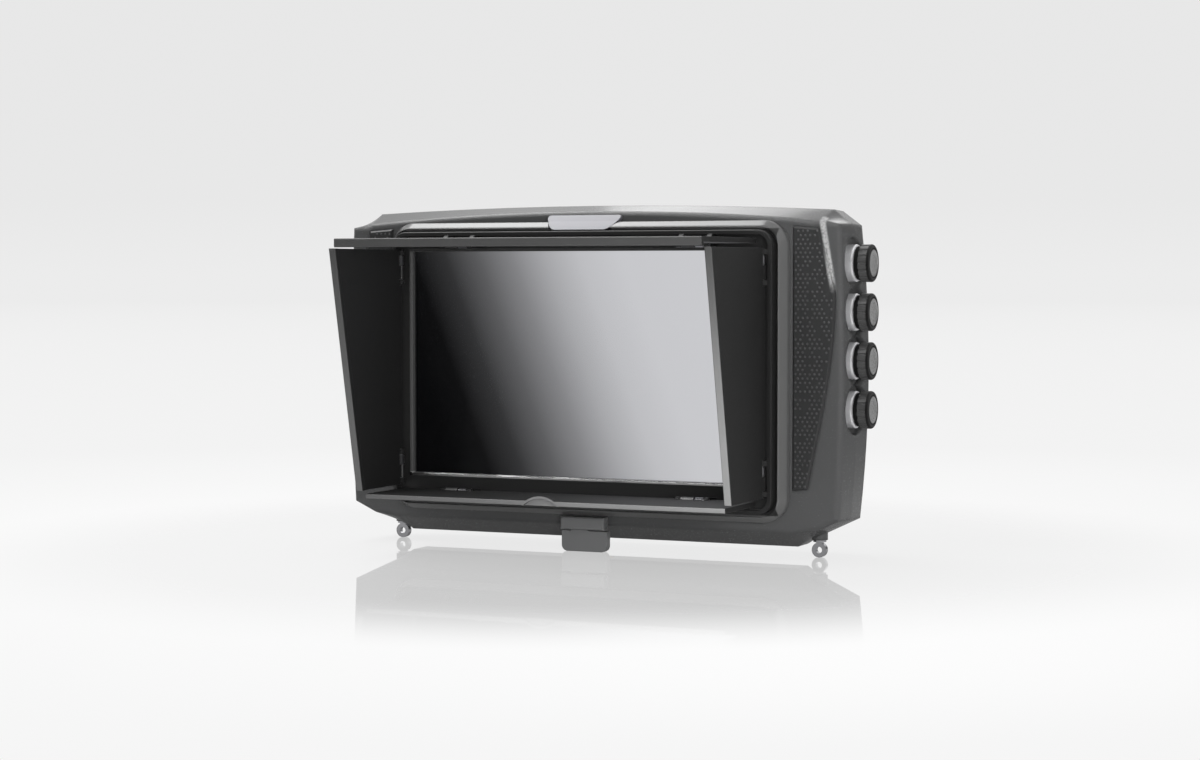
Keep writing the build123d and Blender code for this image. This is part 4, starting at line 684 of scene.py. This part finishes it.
def studField():
    field = Field("gripStuds", {
        "Grip": ("Object", None),
        "Pitch": ("Float", stud["pitch"]),
        "Radius": ("Float", stud["radius"]),
        "Across": ("Int", stud["across"]),
        "Up": ("Int", stud["up"]),
        "Middle": ("Vector", (0, 0, 0)),
    })
    pitch = field.given("Pitch")
    rowPitch = field.math("MULTIPLY", pitch, math.sqrt(3) / 2)
    wide = field.math("MULTIPLY", field.math("SUBTRACT", field.given("Across"), 1.0), pitch)
    tall = field.math("MULTIPLY", field.math("SUBTRACT", field.given("Up"), 1.0), rowPitch)
    grid = field.node("GeometryNodeMeshGrid", values={
        "Size X": wide, "Size Y": tall, "Vertices X": field.given("Across"), "Vertices Y": field.given("Up"),
    })
    points = field.node("GeometryNodeMeshToPoints", values={0: grid.outputs[0]})
    # every other row moves half a pitch across
    spots = field.node("GeometryNodeInputPosition")
    where = field.node("ShaderNodeSeparateXYZ", values={0: spots.outputs[0]})
    row = field.math("ROUND", field.math("DIVIDE", field.math("ADD", where.outputs[1], tall), rowPitch), 0.0)
    odd = field.math("MODULO", row, 2.0)
    slide = field.math("MULTIPLY", field.math("SUBTRACT", odd, 0.5), field.math("MULTIPLY", pitch, 0.5))
    spot = field.node("ShaderNodeCombineXYZ", values={
        0: field.math("ADD", where.outputs[0], slide), 1: 0.0, 2: where.outputs[1],
    })
    lifted = field.node("ShaderNodeVectorMath", {"operation": "ADD"}, {
        0: spot.outputs[0], 1: field.given("Middle"),
    })
    stood = field.node("GeometryNodeSetPosition", values={
        0: points.outputs[0], "Position": lifted.outputs[0],
    })
    # drop each point onto the grip's front face and keep those that land on its flat
    grip = field.node("GeometryNodeObjectInfo", values={0: field.given("Grip")})
    ray = field.node("GeometryNodeRaycast", {"data_type": "FLOAT"}, {
        "Target Geometry": grip.outputs["Geometry"], "Ray Direction": (0, 1, 0), "Ray Length": stud["reach"],
    })
    facing = field.node("ShaderNodeSeparateXYZ", values={0: ray.outputs["Hit Normal"]})
    flat = field.math("LESS_THAN", facing.outputs[1], -stud["flatness"])
    lost = field.math("SUBTRACT", 1.0, field.math("MULTIPLY", flat, ray.outputs["Is Hit"]))
    landed = field.node("GeometryNodeSetPosition", values={
        0: stood.outputs[0], "Position": ray.outputs["Hit Position"],
    })
    trimmed = field.node("GeometryNodeDeleteGeometry", {"domain": "POINT"}, {
        0: landed.outputs[0], "Selection": lost,
    })
    dome = field.node("GeometryNodeMeshUVSphere", values={
        "Segments": stud["segments"], "Rings": stud["rings"], "Radius": field.given("Radius"),
    })
    low = field.node("GeometryNodeTransform", values={
        0: dome.outputs[0], "Scale": (1, 1, stud["rise"] / stud["radius"]),
    })
    smooth = field.node("GeometryNodeSetShadeSmooth", values={0: low.outputs[0]})
    tip = field.node("FunctionNodeEulerToRotation", values={0: (math.pi / 2, 0, 0)})
    spread = field.node("GeometryNodeInstanceOnPoints", values={
        "Points": trimmed.outputs[0], "Instance": smooth.outputs[0], "Rotation": tip.outputs[0],
    })
    field.close(spread.outputs[0], finishes["studs"])
    return field


studs = studField()
for node in ("right_grip", "left_grip"):
    low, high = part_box(node)
    middle = (low + high) / 2
    piece = growPiece(node.split("_")[0] + "GripStuds", studs, {
        "Grip": nodes[node], "Middle": (middle.x, low.y - stud["standOff"], middle.z),
    })
    settle(piece, "monitor", "grip")
    print(node, "studs:", len(piece.data.polygons) // (stud["segments"] * stud["rings"]))

# brass tripod insert with its real thread; the groove's half width and the run-out are counted in pitches
insert = {"minor": 2.6 * mm, "major": 3.1 * mm, "outer": 4.0 * mm, "pitch": 1.27 * mm, "deep": 8.0 * mm,
          "tall": 10.0 * mm, "groove": 0.42, "runOut": 0.6, "steps": 48, "ringsEach": 8}


def threadRadius(height, turn):
    # the wall's reach at a height, one turn being 0 to 1 round the hole
    wave = (height / insert["pitch"] - turn) % 1.0
    groove = max(0.0, 1 - abs(wave - 0.5) / insert["groove"])
    runOut = insert["runOut"] * insert["pitch"]
    cut = max(0.0, min(1.0, height / runOut, (insert["deep"] - height) / runOut))
    return insert["minor"] + (insert["major"] - insert["minor"]) * groove * cut


def threadedInsert():
    tool = bmesh.new()
    steps = insert["steps"]
    count = round(insert["deep"] / insert["pitch"] * insert["ringsEach"])

    def ring(height, reach):
        row = []
        for step in range(steps):
            angle, radius = 2 * math.pi * step / steps, reach(height, step / steps)
            row.append(tool.verts.new((radius * math.cos(angle), radius * math.sin(angle), height)))
        return row

    def plainRadius(height, turn):
        return insert["outer"]

    rings = [ring(insert["tall"], plainRadius), ring(0.0, plainRadius)]
    rings += [ring(insert["deep"] * place / count, threadRadius) for place in range(count + 1)]
    for first, second in zip(rings, rings[1:]):
        for step in range(steps):
            after = (step + 1) % steps
            tool.faces.new((first[step], first[after], second[after], second[step]))
    tool.faces.new(rings[0])
    tool.faces.new(rings[-1])
    return linkPiece("tripodInsert", meshFrom("tripodInsert", tool))


settle(threadedInsert(), "monitor", "brass", ["tripod_socket"])
print("insert threaded")

# the tally lens with its corners and its front rim rounded
lens = {"corner": 2.4 * mm, "cornerSteps": 5, "rim": 0.4 * mm, "rimSteps": 3, "front": 0.1 * mm,
        "along": 0.8, "sliver": 0.01 * mm}


def roundedLens():
    tool = bmesh.new()
    tool.from_mesh(nodes["tally_lens"].data)
    bmesh.ops.remove_doubles(tool, verts=tool.verts, dist=merge)
    bmesh.ops.dissolve_limit(tool, angle_limit=math.radians(1), verts=tool.verts, edges=tool.edges)
    front = min(vert.co.y for vert in tool.verts) + lens["front"]
    # the edges that run from front to back, and then those round the front
    corners = [edge for edge in tool.edges
               if abs((edge.verts[0].co - edge.verts[1].co).normalized().y) > lens["along"]]
    roundEdges(tool, corners, lens["corner"], lens["cornerSteps"])
    rim = [edge for edge in tool.edges if all(vert.co.y < front for vert in edge.verts)]
    roundEdges(tool, rim, lens["rim"], lens["rimSteps"])
    bmesh.ops.remove_doubles(tool, verts=tool.verts, dist=lens["sliver"])
    return linkPiece("tallyCover", meshFrom("tallyCover", tool))


def roundEdges(tool, edges, radius, steps):
    bmesh.ops.bevel(tool, geom=edges, offset=radius, segments=steps, profile=0.5, affect="EDGES")


settle(roundedLens(), "monitor", "lens", ["tally_lens"])
print("tally cover rounded")

# the pale studio round the monitor: floor and backdrop with their tones from near to far, and lamps;
# a fade is written as the two places it runs between and its values there
stage = {
    "floor": -4.4 * mm, "reach": 9.0,
    "tones": [(0.0, 0.95), (0.03, 0.945), (0.07, 0.895), (0.17, 0.885), (0.5, 0.865), (1.0, 0.838)],
    "seen": (0.15, 0.45, 0.82, 1.0),        # share of the plain tone that the camera sees
    "dim": (0.2, 0.6, 0.45, 0.18),          # how brightly glossy pieces mirror the floor
    "under": (0.09, 0.17, 0.5, 1.0),        # the floor lies in shadow under the object
    "mirror": (0.175, 0.29, 0.37, 0.0),     # the polish fades away from the object
    "steep": (0.55, 0.85),                  # and at steep angles
    "sky": [(0.0, 0.838), (0.3, 0.838), (0.65, 0.808), (1.0, 0.805)],
    "skyScale": 12, "horizon": 0.3,         # how steeply the sky's tones change, and where they start
    "fill": 0.35, "unlit": 0.03,
    "frontDark": (0.05, -0.3), "frontLow": (0.75, 0.3, 0.5, 1.0),
    "rightDark": (0.05, 0.28), "rightLow": (0.35, 0.12), "rightShare": 0.85,
}


def toneStops(tones):
    return [(place, (tone,) * 3) for place, tone in tones]


def buildFloor():
    reach, level = stage["reach"], stage["floor"]
    mesh = bpy.data.meshes.new("floor")
    corners = [(-reach, -reach, level), (reach, -reach, level), (reach, reach, level), (-reach, reach, level)]
    mesh.from_pydata(corners, [], [(0, 1, 2, 3)])
    floor = linkPiece("floor", mesh)
    made, shader = newMaterial("paleFloor")
    away = shader.node("VectorMath", {"operation": "LENGTH"}, {0: shader.place()}, "Value")
    shade = shader.ramp(away / reach, toneStops(stage["tones"]))
    matt = shader.node("BsdfDiffuse", values={"Color": shade})
    glow = shader.node("Emission", values={"Color": shade})
    strength = shader.smooth(away, *stage["dim"]) * shader.smooth(away, *stage["under"])
    mirrored = shader.node("Emission", values={"Color": shade, "Strength": strength})
    paths = shader.node("LightPath").socket.node.outputs
    seen = Wire(shader, paths["Is Camera Ray"]) * shader.smooth(away, *stage["seen"])
    pale = shader.node("MixShader", values={0: seen, 1: matt, 2: glow})
    pale = shader.node("MixShader", values={0: Wire(shader, paths["Is Glossy Ray"]), 1: pale, 2: mirrored})
    mirror = shader.node("BsdfGlossy", values={"Color": (1, 1, 1, 1), "Roughness": 0.0})
    angle = shader.node("LayerWeight", values={"Blend": 0.5}, output="Facing")
    polish = shader.smooth(away, *stage["mirror"]) * shader.smooth(angle, *stage["steep"])
    shader.end(shader.node("MixShader", values={0: polish, 1: pale, 2: mirror}))
    mesh.materials.append(made)


def buildWorld():
    world = bpy.data.worlds.new("studio")
    bpy.context.scene.world = world
    world.use_nodes = True
    shader = Shader(world.node_tree)
    across, along, up = shader.split(shader.place("Generated"))
    shown = shader.ramp(up * stage["skyScale"] + stage["horizon"], toneStops(stage["sky"]))
    seen = shader.node("Background", values={"Color": shown, "Strength": 1.0})
    fill = shader.node("Background", values={"Color": (1, 1, 1, 1), "Strength": stage["fill"]})
    unlit = shader.node("Background", values={"Color": grey(stage["unlit"]), "Strength": 1.0})
    paths = shader.node("LightPath").socket.node.outputs
    camera, glossy, through, sharp = (
        Wire(shader, paths[name])
        for name in ("Is Camera Ray", "Is Glossy Ray", "Is Transmission Ray", "Is Singular Ray")
    )
    lit = shader.node("MixShader", values={0: camera.most(glossy).most(through), 1: fill, 2: seen})
    # the object's gloss also mirrors the unlit parts of the studio, in front of it and to its right
    front = shader.smooth(along, *stage["frontDark"]) * shader.smooth(up, *stage["frontLow"])
    right = shader.smooth(across, *stage["rightDark"]) * shader.smooth(up, *stage["rightLow"])
    dark = glossy * (1 - sharp) * front.most(right * stage["rightShare"])
    shader.end(shader.node("MixShader", values={0: dark, 1: lit, 2: unlit}), "OutputWorld")


def softbox(name, place, aim, size, power, mirrored=True):
    # a soft lamp that the camera doesn't see; mirrored says whether gloss shows it
    lamp = bpy.data.lights.new(name, "AREA")
    lamp.shape = "RECTANGLE"
    lamp.size, lamp.size_y = size
    lamp.energy = power
    made = bpy.data.objects.new(name, lamp)
    bpy.context.scene.collection.objects.link(made)
    made.location = place
    made.rotation_euler = (Vector(aim) - Vector(place)).to_track_quat("-Z", "Y").to_euler()
    made.visible_camera = False
    made.visible_glossy = mirrored


buildFloor()
buildWorld()
softbox("topStrip", (-0.55, 0.22, 1.05), aim=(0, 0, 0.1), size=(0.9, 0.5), power=7.0)
softbox("backStrip", (-0.2, 1.06, 0.75), aim=(0, 0, 0.1), size=(0.62, 0.35), power=0.95)
softbox("frontLamp", (-0.65, -1.0, 1.4), aim=(0, 0, 0.06), size=(0.7, 0.7), power=8.0)
softbox("lowLamp", (0.36, -0.46, 0.1), aim=(0.1, 0, 0.02), size=(0.24, 0.18), power=2.0, mirrored=False)
softbox("rearLamp", (0.95, 0.9, 0.33), aim=(0.1, 0, 0.07), size=(0.3, 0.5), power=1.25, mirrored=False)
print("stage lit")

# where the camera stands: turned and tilted in degrees, focal length and width in pixels, the rest in mm
view = {"turn": 24.085, "tilt": 2.451, "focal": 2486.4, "width": 1200, "away": 1001.27, "right": 8.066,
        "rise": -6.185, "sensor": 36, "near": 50, "far": 50000}


def buildCamera():
    turn, tilt = math.radians(view["turn"]), math.radians(view["tilt"])
    ahead = Vector((-math.sin(turn) * math.cos(tilt), math.cos(turn) * math.cos(tilt), -math.sin(tilt)))
    right = Vector((math.cos(turn), math.sin(turn), 0))
    up = right.cross(ahead)
    place = (-ahead * view["away"] + right * view["right"] + up * view["rise"]) * mm
    place += Vector((0, windowPlane, pictureMiddle))
    optics = bpy.data.cameras.new("camera")
    optics.sensor_width = view["sensor"]
    optics.lens = view["focal"] / view["width"] * view["sensor"]
    optics.clip_start, optics.clip_end = view["near"] * mm, view["far"] * mm
    camera = bpy.data.objects.new("camera", optics)
    bpy.context.scene.collection.objects.link(camera)
    pose = Matrix((right, up, -ahead)).transposed().to_4x4()
    pose.translation = place
    camera.matrix_world = pose
    bpy.context.scene.camera = camera


buildCamera()
bpy.context.scene.view_settings.view_transform = "Standard"
